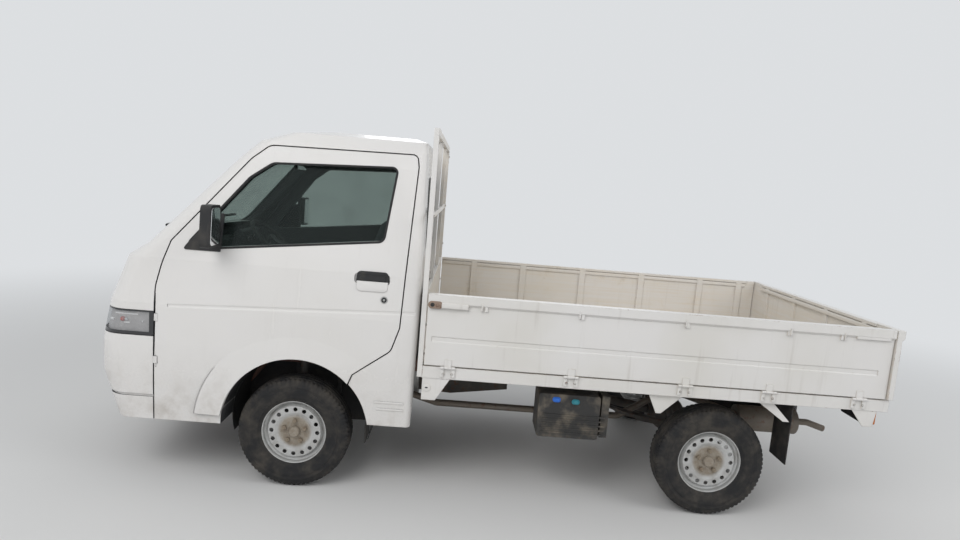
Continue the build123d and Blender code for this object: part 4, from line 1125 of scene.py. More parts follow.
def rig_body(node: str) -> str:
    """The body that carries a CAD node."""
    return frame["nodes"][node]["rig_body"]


@dataclass(frozen=True)
class Seals:
    """Rubber borders of the side windows, the windscreen and the rear window."""

    window: Outline = (
        (-0.588, 1.216), (-0.296, 1.592), (-0.190, 1.672), (0.440, 1.700), (0.400, 1.330))
    window_rounds: Tuple[float, ...] = (0.022, 0.060, 0.060, 0.022, 0.030)
    screen: Outline = ((-0.668, 1.268), (0.668, 1.268), (0.548, 1.742), (-0.548, 1.742))
    rear: Outline = ((-0.560, 1.290), (0.560, 1.290), (0.520, 1.650), (-0.520, 1.650))
    screen_round: float = 0.05
    rear_round: float = 0.045
    overlap: float = 0.0045
    wide_overlap: float = 0.008
    width: float = 0.011
    height: float = 0.0028
    pitch: float = 0.03

    def build(self, shop: Shop) -> None:
        """Lays every border."""
        for side, hand in SIDES.items():
            path = grown(rounded_outline(self.window, self.window_rounds), self.overlap)
            shots = [spot(p.x, side * 1.2, p.y) for p in divided(path, self.pitch)]
            self.lay(shop, f"window_rubber_{hand}", f"door_{hand}", shots,
                     Vector((0, -side, 0)), self.width)
        for name, corners, radius, start, along in (
                ("windscreen_rubber", self.screen, self.screen_round, -1.6, 1),
                ("rear_window_rubber", self.rear, self.rear_round, 1.2, -1)):
            path = grown(rounded_outline(corners, radius), self.wide_overlap)
            shots = [spot(start, p.x, p.y) for p in divided(path, self.pitch)]
            self.lay(shop, name, "cab_shell", shots, Vector((along, 0, 0)), self.width * 2)

    def lay(self, shop: Shop, name: str, node: str, shots: List[Vector], toward: Vector,
            width: float) -> None:
        """Lays one border where the shots meet a node's skin."""
        skin, mesh = Skin(node), bmesh.new()
        hits = [hit for hit in (skin.shoot(start, toward) for start in shots) if hit]
        ribbon(mesh, [h[0] for h in hits], [h[1] for h in hits], width, self.height)
        shop.piece(name, mesh, "seal_rubber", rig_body(node), slot="black_rubber")


@dataclass(frozen=True)
class HeadlampInsides:
    """Reflector bowls and bulbs behind the headlamps' clear fronts."""

    inset: float = 0.0176
    bulb: Flat = (-0.876, 0.838)
    # painted highlights: front, rear, height and radius of each bright strip
    gleams: Tuple[Tuple[float, float, float, float], ...] = (
        (-0.925, -0.800, 0.8655, 0.0050), (-0.872, -0.842, 0.8205, 0.0046),
        (-0.960, -0.935, 0.830, 0.008), (-0.780, -0.774, 0.830, 0.006))
    gleam_depth: float = 0.0145
    lamp: Flat = (0.620, 0.825)
    bulb_radius: float = 0.013
    bulb_depth: float = 0.0125
    dish_radius: float = 0.044
    dish_depth: float = 0.016
    dish_form: Tuple[Flat, ...] = ((0.0, 1.0), (0.004, 0.92), (0.012, 0.62), (0.017, 0.28))

    def build(self, shop: Shop) -> None:
        """Makes the bowls, the dishes, the painted highlights and the red bulbs."""
        mesh = bmesh.new()
        mesh.from_mesh(frame["nodes"]["headlamps"].data)
        bmesh.ops.remove_doubles(mesh, verts=mesh.verts[:], dist=1e-5)
        bmesh.ops.recalc_face_normals(mesh, faces=mesh.faces[:])
        mesh.normal_update()
        for v, normal in [(v, v.normal.copy()) for v in mesh.verts]:
            v.co -= normal * self.inset
        shop.piece("headlamp_bowls", mesh, "lamp_bowl", smooth=False)
        skin = Skin("headlamps")
        bulbs, dishes, bands = bmesh.new(), bmesh.new(), bmesh.new()
        for side in SIDES:
            middle = skin.beside(side, *self.bulb)[0] - Vector((0, side * self.bulb_depth, 0))
            ball(bulbs, middle, self.bulb_radius, 20, 14)
            round_bar(dishes, middle + Vector((0.012, 0, 0)), middle + Vector((0.026, 0, 0)),
                      0.0085, 0.001)
            # painted highlights: bright strips where the reflectors would catch the light
            for front, rear, z, radius in self.gleams:
                hits = [skin.beside(side, front + (rear - front) * k / 8, z) for k in range(9)]
                bar_along(bands, [h[0] - h[1] * self.gleam_depth for h in hits if h], radius, 12)
            self.dish(dishes, skin, side)
        shop.piece("indicator_bulbs", bulbs, "lamp_amber")
        shop.piece("headlamp_dishes", dishes, "mirror_silver")
        shop.piece("headlamp_bands", bands, "lamp_gleam")

    def dish(self, mesh: Mesh, skin: Skin, side: int) -> None:
        """Adds one round reflector, shallow towards the front, with its bulb's cap."""
        y, z = self.lamp
        hit = skin.shoot(spot(-1.6, side * y, z), REARWARD)
        base = Vector((hit[0].x + self.dish_depth, side * y, z))
        rings = [[mesh.verts.new(base + Vector((along, share * self.dish_radius * math.cos(a),
                                                share * self.dish_radius * math.sin(a))))
                  for a in turns(32)] for along, share in self.dish_form]
        loft(mesh, rings, caps=False)
        mesh.faces.new(rings[-1])
        round_bar(mesh, base - Vector((0.006, 0, 0)), base + Vector((0.014, 0, 0)), 0.010, 0.002)


@dataclass(frozen=True)
class CabTrim:
    """Small fittings on the outside of the cab."""

    lock: Flat = (0.430, 1.037)
    lock_rings: Tuple[Tuple[float, float, float, float, int], ...] = (
        (-0.002, 0.0035, 0.0180, 0.0014, 32), (0.0, 0.0062, 0.0060, 0.0008, 24))
    handle: Outline = (
        (0.281, 1.124), (0.449, 1.124), (0.443, 1.176), (0.287, 1.176))
    handle_rounds: Tuple[float, ...] = (0.004, 0.004, 0.022, 0.022)
    handle_middle: Flat = (0.365, 1.180)
    scoop_rounds: Tuple[float, ...] = (0.022, 0.022, 0.004, 0.004)
    scoop: Tuple[float, float, float, float] = (0.286, 0.444, 1.076, 1.126)
    scoop_rise: float = 0.007
    sail: Outline = (
        (-0.592, 1.212), (-0.405, 1.212), (-0.405, 1.404), (-0.440, 1.404), (-0.578, 1.236))
    sail_rounds: Tuple[float, ...] = (0.008, 0.004, 0.006, 0.010, 0.012)
    sail_plane: Tuple[float, float, float] = (0.806, 1.228, 0.2288)
    rib_size: Flat = (0.013, 0.0035)
    sill_ribs: Tuple[Tuple[float, float, float], ...] = (
        (0.411, 0.563, 0.500), (0.423, 0.564, 0.463))
    nozzles: Tuple[float, ...] = (-0.34, 0.34)
    nozzle_x: float = -0.925
    plate_half: Flat = (0.165, 0.052)
    plate_z: float = 0.688
    plate_bolt_y: float = 0.105
    cover_y: float = 0.566
    cover_z: float = 0.392
    mirror_x: float = -0.3962
    mirror_face: Outline = (
        (-0.978, 1.257), (-0.857, 1.262), (-0.862, 1.440), (-0.970, 1.440))

    def build(self, shop: Shop) -> None:
        """Makes every fitting."""
        for side, hand in SIDES.items():
            self.door_side(shop, side, hand)
        self.ribs(shop)
        self.washers(shop)
        self.front_plate(shop)
        self.lamp_covers(shop)

    def door_side(self, shop: Shop, side: int, hand: str) -> None:
        """Makes a door's lock, handle cover and scoop, mirror glass and corner sheet."""
        body, skin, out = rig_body(f"door_{hand}"), Skin(f"door_{hand}"), Vector((0, side, 0))
        place, normal = skin.beside(side, *self.lock)
        lock, disc, lip, grip, glass, sail = (bmesh.new() for _ in range(6))
        for low, high, *form in self.lock_rings:
            round_bar(lock, place + normal * low, place + normal * high, *form)
        shop.piece(f"door_lock_{hand}", lock, "zinc", body)
        round_bar(disc, place, place + normal * 0.0048, 0.0135, 0.0008, 32)
        shop.piece(f"lock_disc_{hand}", disc, "black_plastic", body)
        left, right, low, high = self.scoop
        path = rounded_outline([(left, low), (right, low), (right, high), (left, high)],
                               self.scoop_rounds)
        level = skin.beside(side, (left + right) / 2, low + 0.01)[0].y
        slab(lip, [spot(p.x, level - side * 0.003, p.y) for p in path], out * 0.0035, 0.001)
        for v in lip.verts:
            if (v.co.y - level) * side > 0:
                v.co += out * self.scoop_rise * (high - v.co.z) / (high - low)
        shop.piece(f"handle_scoop_{hand}", lip, "cab_white", body, slot="body_paint")
        level = skin.beside(side, *self.handle_middle)[0].y
        path = rounded_outline(self.handle, self.handle_rounds)
        slab(grip, [spot(p.x, level - side * 0.012, p.y) for p in path], out * 0.021, 0.004, 0.002)
        shop.piece(f"handle_cover_{hand}", grip, "black_plastic", body, slot="black_plastic")
        face = rounded_outline(self.mirror_face, 0.02)
        slab(glass, [spot(self.mirror_x, -side * p.x, p.y) for p in face],
             Vector((0.0035, 0, 0)), 0.001)
        shop.piece(f"mirror_glass_{hand}", glass, "mirror_silver", body)
        level, height, lean = self.sail_plane
        path = rounded_outline(self.sail, self.sail_rounds)
        slab(sail, [spot(p.x, side * (level - lean * (p.y - height) - 0.004), p.y) for p in path],
             Vector((0, side, lean)).normalized() * 0.010, 0.002)
        shop.piece(f"mirror_sail_{hand}", sail, "black_plastic", body, slot="black_plastic")

    def ribs(self, shop: Shop) -> None:
        """Makes the pressed ribs on the cab's rear corners."""
        skin, mesh = Skin("cab_shell"), bmesh.new()
        for side in SIDES:
            for x0, x1, z in self.sill_ribs:
                hits = [skin.beside(side, x0 + (x1 - x0) * k / 8, z) for k in range(9)]
                ribbon(mesh, [h[0] for h in hits], [h[1] for h in hits], *self.rib_size, False)
        shop.piece("sill_ribs", mesh, "cab_white", slot="body_paint")

    def washers(self, shop: Shop) -> None:
        """Makes the windscreen washers' nozzles above the lid."""
        skin, mesh = Skin("cab_shell"), bmesh.new()
        for y in self.nozzles:
            place, normal = skin.shoot(spot(self.nozzle_x, y, 1.6), -UP)
            round_bar(mesh, place - normal * 0.002, place + normal * 0.006, 0.009, 0.001)
            round_bar(mesh, place, place + normal * 0.010 + Vector((0.010, 0, 0.001)), 0.0045,
                      0.001)
        shop.piece("washer_nozzles", mesh, "black_plastic", slot="black_plastic")

    def front_plate(self, shop: Shop) -> None:
        """Makes the blank number plate on the bumper."""
        (w, h), plate, bolts = self.plate_half, bmesh.new(), bmesh.new()
        x = Skin("front_bumper").shoot(spot(-1.6, 0, self.plate_z), REARWARD)[0].x
        slab(plate, [Vector((x + 0.008, p.x, self.plate_z + p.y)) for p in oblong(w, h, 0.008)],
             Vector((-0.0115, 0, 0)), 0.0015)
        shop.piece("front_plate", plate, "plate_white")
        for side in SIDES:
            place = Vector((x - 0.0035, side * self.plate_bolt_y, self.plate_z + h - 0.014))
            hexagon_bolt(bolts, place, Vector((-1, 0, 0)), 0.005)
        shop.piece("front_plate_bolts", bolts, "zinc")

    def lamp_covers(self, shop: Shop) -> None:
        """Makes the covers in the bumper's two side openings: four slats before a sheet."""
        mesh = bmesh.new()
        places = [self.cover_y + 0.016 * k for k in range(9)]
        slats = [(self.cover_z + 0.020 * k, 0.012, 0.022, 0.008) for k in range(4)]
        for side in SIDES:
            for z, front, thick, high in (*slats, (self.cover_z, 0.030, 0.006, 0.074)):
                curve = [-1.0074 + 0.238 * (y - 0.56) - 0.343 * (z - 0.43) for y in places]
                path = [spot(x + front, side * y, z) for x, y in zip(curve, places)]
                path += [spot(x + front + thick, side * y, z)
                         for x, y in zip(curve[::-1], places[::-1])]
                slab(mesh, path, Vector((0, 0, high)), 0.001)
        shop.piece("bumper_covers", mesh, "dark_grille", slot="black_plastic")


@dataclass(frozen=True)
class WheelHouses:
    """Black sheets that close the front wheel arches towards the engine; their black is painted shade inside the
    arches.
    """

    centre: Flat = (0.005, 0.320)
    radius: float = 0.3775
    sheet: float = 0.003
    inner_y: float = 0.345
    outer_y: float = 0.640
    reach: Span = (-15, 195)
    steps: int = 40

    def build(self, shop: Shop) -> None:
        """Makes the curved roof and the inner wall of both wheel houses."""
        mesh, (x, z) = bmesh.new(), self.centre
        first, last = self.reach
        angles = [math.radians(first + (last - first) * k / self.steps)
                  for k in range(self.steps + 1)]
        low = self.radius - self.sheet
        section = ((low, self.inner_y), (low, self.outer_y),
                   (self.radius, self.outer_y), (self.radius, self.inner_y))
        for side in SIDES:
            loft(mesh, [[mesh.verts.new(spot(x + r * math.cos(a), side * y, z + r * math.sin(a)))
                         for r, y in section] for a in angles])
            arc = [spot(x + self.radius * math.cos(a), side * self.inner_y,
                        z + self.radius * math.sin(a)) for a in angles]
            slab(mesh, arc, Vector((0, side * 0.004, 0)), 0.001)
        # painted shade: the sheets' black stands for the shade inside the arches
        shop.piece("wheel_houses", mesh, "seal_rubber", slot="black_rubber")


@dataclass(frozen=True)
class BedTrim:
    """Fittings of the cargo bed: rope pins, raised frames, bolts, pads, latches, blank plate."""

    pins: Tuple[float, ...] = (0.927, 1.421, 1.960, 2.497, 2.777)
    pin_z: Span = (1.026, 1.064)
    pin_radius: float = 0.0042
    bands: Tuple[Span, ...] = ((1.050, 1.074), (0.748, 0.760))
    band_x: Span = (0.664, 2.970)
    band_y: float = 0.698
    band_rise: float = 0.0095
    band_root: float = 0.002
    hinges: Tuple[float, ...] = (0.778, 1.408, 1.997, 2.432, 2.903)
    hinge_z: float = 0.690
    latch: Flat = (0.692, 1.043)
    latch_plate: Outline = ((-0.036, -0.019), (0.038, -0.019), (0.038, 0.019), (-0.036, 0.019))
    latch_hole: Flat = (-0.014, 0.0105)
    latch_bolt: float = 0.012
    latch_bar: Tuple[Span, Span] = ((0.032, 0.166), (-0.014, 0.013))
    pad: Flat = (0.677, 0.610)
    post_y: float = 0.842
    post_bolts: Tuple[float, ...] = (0.78, 0.93, 1.20, 1.48, 1.84)
    plate: Flat = (3.058, 0.598)
    plate_half: Flat = (0.165, 0.055)
    plate_arms: Tuple[Tuple[Span, float, Span, float], ...] = (
        ((-0.004, 0.0), 0.09, (0.578, 0.668), 0.0012),
        ((-0.004, 0.012), 0.10, (0.657, 0.668), 0.0012),
        ((0.0, 0.026), 0.035, (0.655, 0.668), 0.004))

    def build(self, shop: Shop) -> None:
        """Makes every fitting."""
        self.inner_frames(shop)
        self.fixings(shop)
        self.pads(shop)
        self.rear_plate(shop)
        for side, hand in SIDES.items():
            self.latch_levers(shop, side, hand)

    def inner_frames(self, shop: Shop) -> None:
        """Makes the gates' rope pins and the raised frames on their inner faces."""
        (bottom, top), (front, rear) = self.pin_z, self.band_x
        for side, hand in SIDES.items():
            skin, body, mesh, pins = (Skin(f"gate_{hand}"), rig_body(f"gate_{hand}"), bmesh.new(),
                                      bmesh.new())
            inner = skin.shoot(spot(1.2, 0, 0.9), Vector((0, side, 0)))[0].y
            low, high = sorted((inner - side * self.band_rise, inner + side * self.band_root))
            for z0, z1 in self.bands:
                rounded_box(mesh, spot(front, low, z0), spot(rear, high, z1), 0.003)
            shop.piece(f"gate_frame_{hand}", mesh, "deck_white", body, slot="bed_paint")
            for x in self.pins:
                face = skin.beside(side, x, 1.045)[0].y
                line = ((-0.002, bottom + 0.006), (0.005, bottom + 0.001), (0.008, bottom + 0.004),
                        (0.008, top))
                bar_along(pins, [spot(x, face + side * out, z) for out, z in line],
                          self.pin_radius, 10)
            shop.piece(f"rope_pins_{hand}", pins, "deck_white", body, slot="bed_paint")
        face = Skin("tailgate").shoot(spot(1.5, 0.2, 0.9), REARWARD)[0].x
        mesh = bmesh.new()
        for z0, z1 in self.bands:
            rounded_box(mesh, Vector((face - self.band_rise, -self.band_y, z0)),
                        Vector((face + self.band_root, self.band_y, z1)), 0.003)
        shop.piece("tail_frame", mesh, "deck_white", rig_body("tailgate"), slot="bed_paint")

    def fixings(self, shop: Shop) -> None:
        """Sets the bolts of the hinges and the guard frame."""
        mesh, shell, board = bmesh.new(), Skin("hinge_brackets"), Skin("headboard")
        hits = [(shell.beside(side, x + dx, self.hinge_z), 0.0055)
                for side in SIDES for x in self.hinges for dx in (-0.022, 0.022)]
        hits += [(board.shoot(spot(1.0, side * self.post_y, z), -REARWARD), 0.007)
                 for side in SIDES for z in self.post_bolts]
        for hit, size in hits:
            if hit:
                hexagon_bolt(mesh, *hit, size)
        shop.piece("bed_bolts", mesh, "worn_bolts")

    def pads(self, shop: Shop) -> None:
        """Raises the pads with a slot on the bed's front feet."""
        skin, pads, slots = Skin("bed_brackets"), bmesh.new(), bmesh.new()
        for side in SIDES:
            place, out = skin.beside(side, *self.pad)[0], Vector((0, side, 0))
            for mesh, w, h, level, depth in ((pads, 0.021, 0.021, 0.0, 0.0035),
                                             (slots, 0.0075, 0.0035, 0.002, 0.0022)):
                slab(mesh, [place + Vector((p.x, 0, p.y)) + out * level
                            for p in oblong(w, h, min(w, h) * 0.9)], out * depth, 0.0008)
        shop.piece("foot_pads", pads, "deck_white", slot="body_paint")
        shop.piece("foot_slots", slots, "black_plastic")

    def rear_plate(self, shop: Shop) -> None:
        """Makes the blank rear plate and its bracket."""
        (w, h), (x, z), bracket, plate = self.plate_half, self.plate, bmesh.new(), bmesh.new()
        for (front, rear), y, (low, high), radius in self.plate_arms:
            rounded_box(bracket, spot(x + front, -y, low), spot(x + rear, y, high), radius)
        shop.piece("plate_bracket", bracket, "chassis_black", slot="chassis_paint")
        slab(plate, [spot(x, p.x, z + p.y) for p in oblong(w, h, 0.008)],
             Vector((0.0025, 0, 0)), 0.001)
        shop.piece("rear_plate", plate, "plate_white")

    def latch_levers(self, shop: Shop, side: int, hand: str) -> None:
        """Makes the rusty pivot plate and the bar of a side gate's latch."""
        skin, out, body = Skin(f"gate_{hand}"), Vector((0, side, 0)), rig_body(f"gate_{hand}")
        plate, hole, bar = bmesh.new(), bmesh.new(), bmesh.new()
        (x, z), (front, rear), (low, high) = self.latch, *self.latch_bar
        level = max(side * skin.beside(side, x + dx, z)[0].y for dx in (-0.02, 0.02)) * side
        path = rounded_outline(self.latch_plate, 0.0185)
        slab(plate, [spot(x + p.x, level - side * 0.003, z + p.y) for p in path], out * 0.0065,
             0.001)
        dx, radius = self.latch_hole
        place = spot(x + dx, level, z)
        round_bar(hole, place, place + out * 0.0045, radius, 0.0008, 20)
        hexagon_bolt(plate, spot(x + self.latch_bolt, level + side * 0.003, z), out, 0.007)
        near, far = sorted((level - side * 0.004, level + side * 0.0095))
        rounded_box(bar, spot(x + front, near, z + low), spot(x + rear, far, z + high), 0.0035, 3)
        shop.piece(f"latch_plates_{hand}", plate, "rusty_plate", body)
        shop.piece(f"latch_holes_{hand}", hole, "black_plastic", body)
        shop.piece(f"latch_bars_{hand}", bar, "deck_white", body, slot="bed_paint")


@dataclass(frozen=True)
class UnderTrim:
    """Caps, straps, bolts and pipes under the truck."""

    caps: Tuple[Tuple[float, float, str], ...] = (
        (1.357, 0.578, "blue_cap"), (1.458, 0.572, "teal_cap"))
    cap_half: Flat = (0.021, 0.0135)
    rib_heights: Tuple[float, ...] = (0.028, 0.052, 0.076, 0.100, 0.124)
    leaf_y: float = 0.360
    bolt_x: float = 0.045
    bolt_bend: Flat = (0.036, 0.030)
    bolt_z: float = 0.352
    bolt_length: float = 0.115
    axle_x: float = 2.205
    axle_z: float = 0.292
    plates: Tuple[Tuple[float, float, float, float], ...] = (
        (0.664, 0.724, 0.045, 0.003), (0.715, 0.7285, 0.112, 0.004))
    pipe_y: float = -0.394
    pipe_heights: Tuple[float, ...] = (0.640, 0.627, 0.612)
    clips: Tuple[float, ...] = (0.70, 1.10, 1.50, 1.90)

    def build(self, shop: Shop) -> None:
        """Makes every piece."""
        self.box_caps(shop)
        self.spring_bolts(shop)
        self.brake_plates(shop)
        self.pipes(shop)
        self.tank(shop)

    def box_caps(self, shop: Shop) -> None:
        """Makes the two oval caps and the ribs of the battery box."""
        skin, ribs, out = Skin("battery_box"), bmesh.new(), Vector((0, -1, 0))
        (w, h), low, high = self.cap_half, *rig.box("battery_box")
        for x, z, finish in self.caps:
            cap, place = bmesh.new(), skin.beside(LEFT, x, z)[0]
            path = oblong(w, h, h * 0.92)
            for grow, level, depth in ((1.0, -0.002, 0.010), (0.7, 0.006, 0.008)):
                slab(cap, [place + Vector((p.x * grow, 0, p.y * grow)) + out * level for p in path],
                     out * depth, 0.002)
            shop.piece(f"battery_{finish}", cap, finish)
        for z in self.rib_heights:
            place = skin.shoot(Vector(((low.x + high.x) / 2, -1.2, low.z + z)), -out)[0]
            rounded_box(ribs, Vector((low.x + 0.02, place.y - 0.005, place.z - 0.004)),
                        Vector((high.x - 0.02, place.y + 0.002, place.z + 0.004)), 0.002)
        shop.piece("battery_box_ribs", ribs, "dusty_box", slot="black_plastic")

    def spring_bolts(self, shop: Shop) -> None:
        """Bends the U bolts that clamp the rear springs to the axle, and sets their nuts."""
        mesh, (wide, high) = bmesh.new(), self.bolt_bend
        drop = Vector((0, 0, self.bolt_length))
        for side in SIDES:
            y = side * self.leaf_y
            for dx in (-self.bolt_x, self.bolt_x):
                points = [spot(self.axle_x + dx, y + wide * math.cos(math.pi * k / 8),
                               self.bolt_z + high * math.sin(math.pi * k / 8)) for k in range(9)]
                points = [points[0] - drop, *points, points[-1] - drop]
                bar_along(mesh, points, 0.0055, 8)
                for end in (points[0], points[-1]):
                    round_bar(mesh, end, end + Vector((0, 0, 0.010)), 0.0105, 0.001, 6)
            rounded_box(mesh, spot(self.axle_x - 0.065, y - 0.05, 0.246),
                        spot(self.axle_x + 0.065, y + 0.05, 0.254), 0.002)
        shop.piece("spring_clamps", mesh, "cast_iron", slot="axle_iron")

    def brake_plates(self, shop: Shop) -> None:
        """Makes the ends of the rear axle, with the plates that close the brake drums."""
        mesh = bmesh.new()
        for side in SIDES:
            for near, far, radius, tip in self.plates:
                round_bar(mesh, spot(self.axle_x, side * near, self.axle_z),
                          spot(self.axle_x, side * far, self.axle_z), radius, tip, 48)
        shop.piece("brake_plates", mesh, "cast_iron", slot="axle_iron")

    def pipes(self, shop: Shop) -> None:
        """Runs the brake and fuel pipes along the left rail."""
        mesh = bmesh.new()
        for n, z in enumerate(self.pipe_heights):
            stops = (0.62 + 0.02 * n, 1.0, 1.55, 1.95, 2.30 + 0.1 * n)
            bar_along(mesh, [spot(x, self.pipe_y, z) for x in stops], 0.0035, 8)
        for x in self.clips:
            rounded_box(mesh, spot(x, self.pipe_y - 0.006, 0.604),
                        spot(x + 0.014, self.pipe_y + 0.005, 0.648), 0.001)
        shop.piece("under_pipes", mesh, "pipe_steel")

    def tank(self, shop: Shop) -> None:
        """Makes the fuel tank's seam, straps and filler cap."""
        low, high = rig.box("fuel_tank")
        mesh = bmesh.new()
        middle = (low.z + high.z) / 2
        rounded_box(mesh, Vector((low.x - 0.006, low.y - 0.006, middle - 0.003)),
                    Vector((high.x + 0.006, high.y + 0.006, middle + 0.003)), 0.001)
        for x in (low.x + 0.14, high.x - 0.17):
            rounded_box(mesh, Vector((x, low.y + 0.01, low.z - 0.003)),
                        Vector((x + 0.032, high.y + 0.003, low.z + 0.001)), 0.001)
            rounded_box(mesh, Vector((x, high.y - 0.001, low.z)),
                        Vector((x + 0.032, high.y + 0.003, high.z - 0.01)), 0.001)
        place = Vector((high.x - 0.30, high.y, high.z - 0.05))
        round_bar(mesh, place, place + Vector((0, 0.026, 0)), 0.030, 0.004, 32)
        shop.piece("tank_straps", mesh, "chassis_black", slot="black_paint")


@dataclass(frozen=True)
class Pad:
    """One stuffed piece of the left seat: its side-view outline, its width and its channels."""

    name: str
    profile: Outline
    inner_y: float
    outer_y: float
    channels: Tuple[float, ...]
    fill: float
    cap: float = 0.020


@dataclass(frozen=True)
class Upholstery:
    """The two seats, each a cushion, a back and a headrest with swollen, sewn covers."""

    pads: Tuple[Pad, ...] = (
        Pad("seat_cushion", ((-0.316, 0.762), (0.174, 0.762), (0.176, 0.858), (-0.294, 0.896),
                             (-0.318, 0.876)), 0.156, 0.624, (0.272, 0.508), 0.75),
        Pad("seat_back", ((0.206, 0.762), (0.306, 0.762), (0.336, 0.902), (0.454, 1.434),
                          (0.392, 1.444), (0.268, 1.078), (0.208, 0.902)), 0.166, 0.614,
            (0.272, 0.508), 0.7),
        Pad("headrest", ((0.412, 1.508), (0.462, 1.502), (0.478, 1.628), (0.440, 1.638)),
            0.292, 0.488, (), 0.8, 0.010),
    )
    voxel: float = 0.010
    pressure: float = 4.0
    frames: int = 20
    channel_depth: float = 0.007
    channel_width: float = 0.008
    platform_z: float = 0.7455
    seam: Flat = (0.18, 1.26)
    welt_y: Flat = (0.168, 0.612)
    welt_x: Span = (-0.300, 0.158)
    stem_y: Flat = (0.335, 0.445)
    runner_y: Flat = (0.200, 0.580)

    def build(self, shop: Shop) -> None:
        """Makes the left seat's pieces, and mirrors them for the right seat."""
        first = None
        for pad in self.pads:
            mesh = self.stuffed(pad)
            for side, hand in SIDES.items():
                copy = bmesh.new()
                copy.from_mesh(mesh)
                for v in copy.verts:
                    v.co.y = side * v.co.y
                piece = shop.piece(f"{pad.name}_{hand}", copy, "seat_cloth", slot="seat_cloth")
                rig.padded(piece, fill=pad.fill)
                first = first or piece
        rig.replaces(first, "seats")
        self.piping(shop)
        self.stems(shop)
        bpy.context.scene.frame_set(1)

    def stuffed(self, pad: Pad) -> bpy.types.Mesh:
        """Swells one pad under pressure and sews its channels.

        Args:
            pad: the pad.

        Returns:
            The finished mesh, on the positive side of the truck.
        """
        block = bmesh.new()
        loft(block, [[block.verts.new(spot(x, y, z)) for x, z in pad.profile]
                     for y in (pad.inner_y, pad.outer_y)])
        bmesh.ops.recalc_face_normals(block, faces=block.faces[:])
        data = bpy.data.meshes.new(f"{pad.name}_block")
        block.to_mesh(data)
        block.free()
        form = bpy.data.objects.new(f"{pad.name}_form", data)
        bpy.context.scene.collection.objects.link(form)
        remesh = form.modifiers.new("Remesh", "REMESH")
        remesh.mode, remesh.voxel_size = "VOXEL", self.voxel
        self.apply(form)
        smooth = form.modifiers.new("Smooth", "SMOOTH")
        smooth.factor, smooth.iterations = 0.5, 6
        self.apply(form)
        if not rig.quick():
            self.swell(form, pad.cap)
        detail = form.modifiers.new("Subdivision", "SUBSURF")
        detail.levels = detail.render_levels = 1
        self.apply(form)
        self.sew(form.data, pad)
        mesh = form.data
        bpy.data.objects.remove(form)
        log.info("%s: %d faces stuffed", pad.name, len(mesh.polygons))
        return mesh

    def apply(self, form: bpy.types.Object) -> None:
        """Makes an object's modifiers into its mesh."""
        seen = form.evaluated_get(bpy.context.evaluated_depsgraph_get())
        data = bpy.data.meshes.new_from_object(seen)
        form.modifiers.clear()
        form.data = data

    def swell(self, form: bpy.types.Object, cap: float) -> None:
        """Blows the cover up under pressure, with its movement capped."""
        before = [v.co.copy() for v in form.data.vertices]
        cloth = form.modifiers.new("Cloth", "CLOTH")
        cloth.settings.quality = 4
        cloth.settings.use_pressure = True
        cloth.settings.uniform_pressure_force = self.pressure
        cloth.settings.effector_weights.gravity = 0.0
        cloth.collision_settings.use_collision = False
        cloth.point_cache.frame_start, cloth.point_cache.frame_end = 1, self.frames
        for number in range(1, self.frames + 1):
            bpy.context.scene.frame_set(number)
        self.apply(form)
        for v, old in zip(form.data.vertices, before):
            move = v.co - old
            if move.length > cap:
                v.co = old + move.normalized() * cap

    def sew(self, data: bpy.types.Mesh, pad: Pad) -> None:
        """Presses the sewn channels and the cross seam, and flattens what rests on the platform."""
        behind, seam_z = self.seam
        seam_x = AXLE_X + min(x for x, _ in pad.profile) + behind
        tall = pad.name == "seat_back"
        data.update()
        for v, normal in zip(data.vertices, [v.normal.copy() for v in data.vertices]):
            top = normal.z > 0.45 if not tall else normal.x < -0.35
            if top:
                depth = sum(math.exp(-((v.co.y - y) / self.channel_width) ** 2)
                            for y in pad.channels)
                lean = v.co.z - seam_z if tall else v.co.x - seam_x
                if pad.channels and pad.channels[0] < v.co.y < pad.channels[1]:
                    depth = max(depth, math.exp(-(lean / self.channel_width) ** 2))
                v.co -= normal * self.channel_depth * min(depth, 1.0)
            v.co.z = max(v.co.z, self.platform_z)

    def piping(self, shop: Shop) -> None:
        """Runs a welt cord along both upper edges of each cushion."""
        mesh, (front, rear) = bmesh.new(), self.welt_x
        for side, hand in SIDES.items():
            thing = bpy.data.objects[f"seat_cushion_{hand}"]
            tree = BVHTree.FromPolygons([v.co.copy() for v in thing.data.vertices],
                                        [tuple(f.vertices) for f in thing.data.polygons])
            for y in self.welt_y:
                points = []
                for k in range(25):
                    x = front + (rear - front) * k / 24
                    place = tree.ray_cast(spot(x, side * y, 1.2), -UP)[0]
                    if place is not None:
                        points.append(place + Vector((0, 0, 0.0005)))
                bar_along(mesh, points, 0.0038, 8)
        shop.piece("seat_piping", mesh, "inside_grey", slot="seat_cloth")

    def stems(self, shop: Shop) -> None:
        """Makes the headrests' two posts and the runners under each seat."""
        mesh = bmesh.new()
        for side in SIDES:
            for y in self.stem_y:
                round_bar(mesh, spot(0.424, side * y, 1.425), spot(0.440, side * y, 1.530), 0.006)
            for y in self.runner_y:
                rounded_box(mesh, spot(-0.26, side * y - 0.014, self.platform_z),
                            spot(0.16, side * y + 0.014, 0.768), 0.003)
        shop.piece("seat_frames", mesh, "zinc")


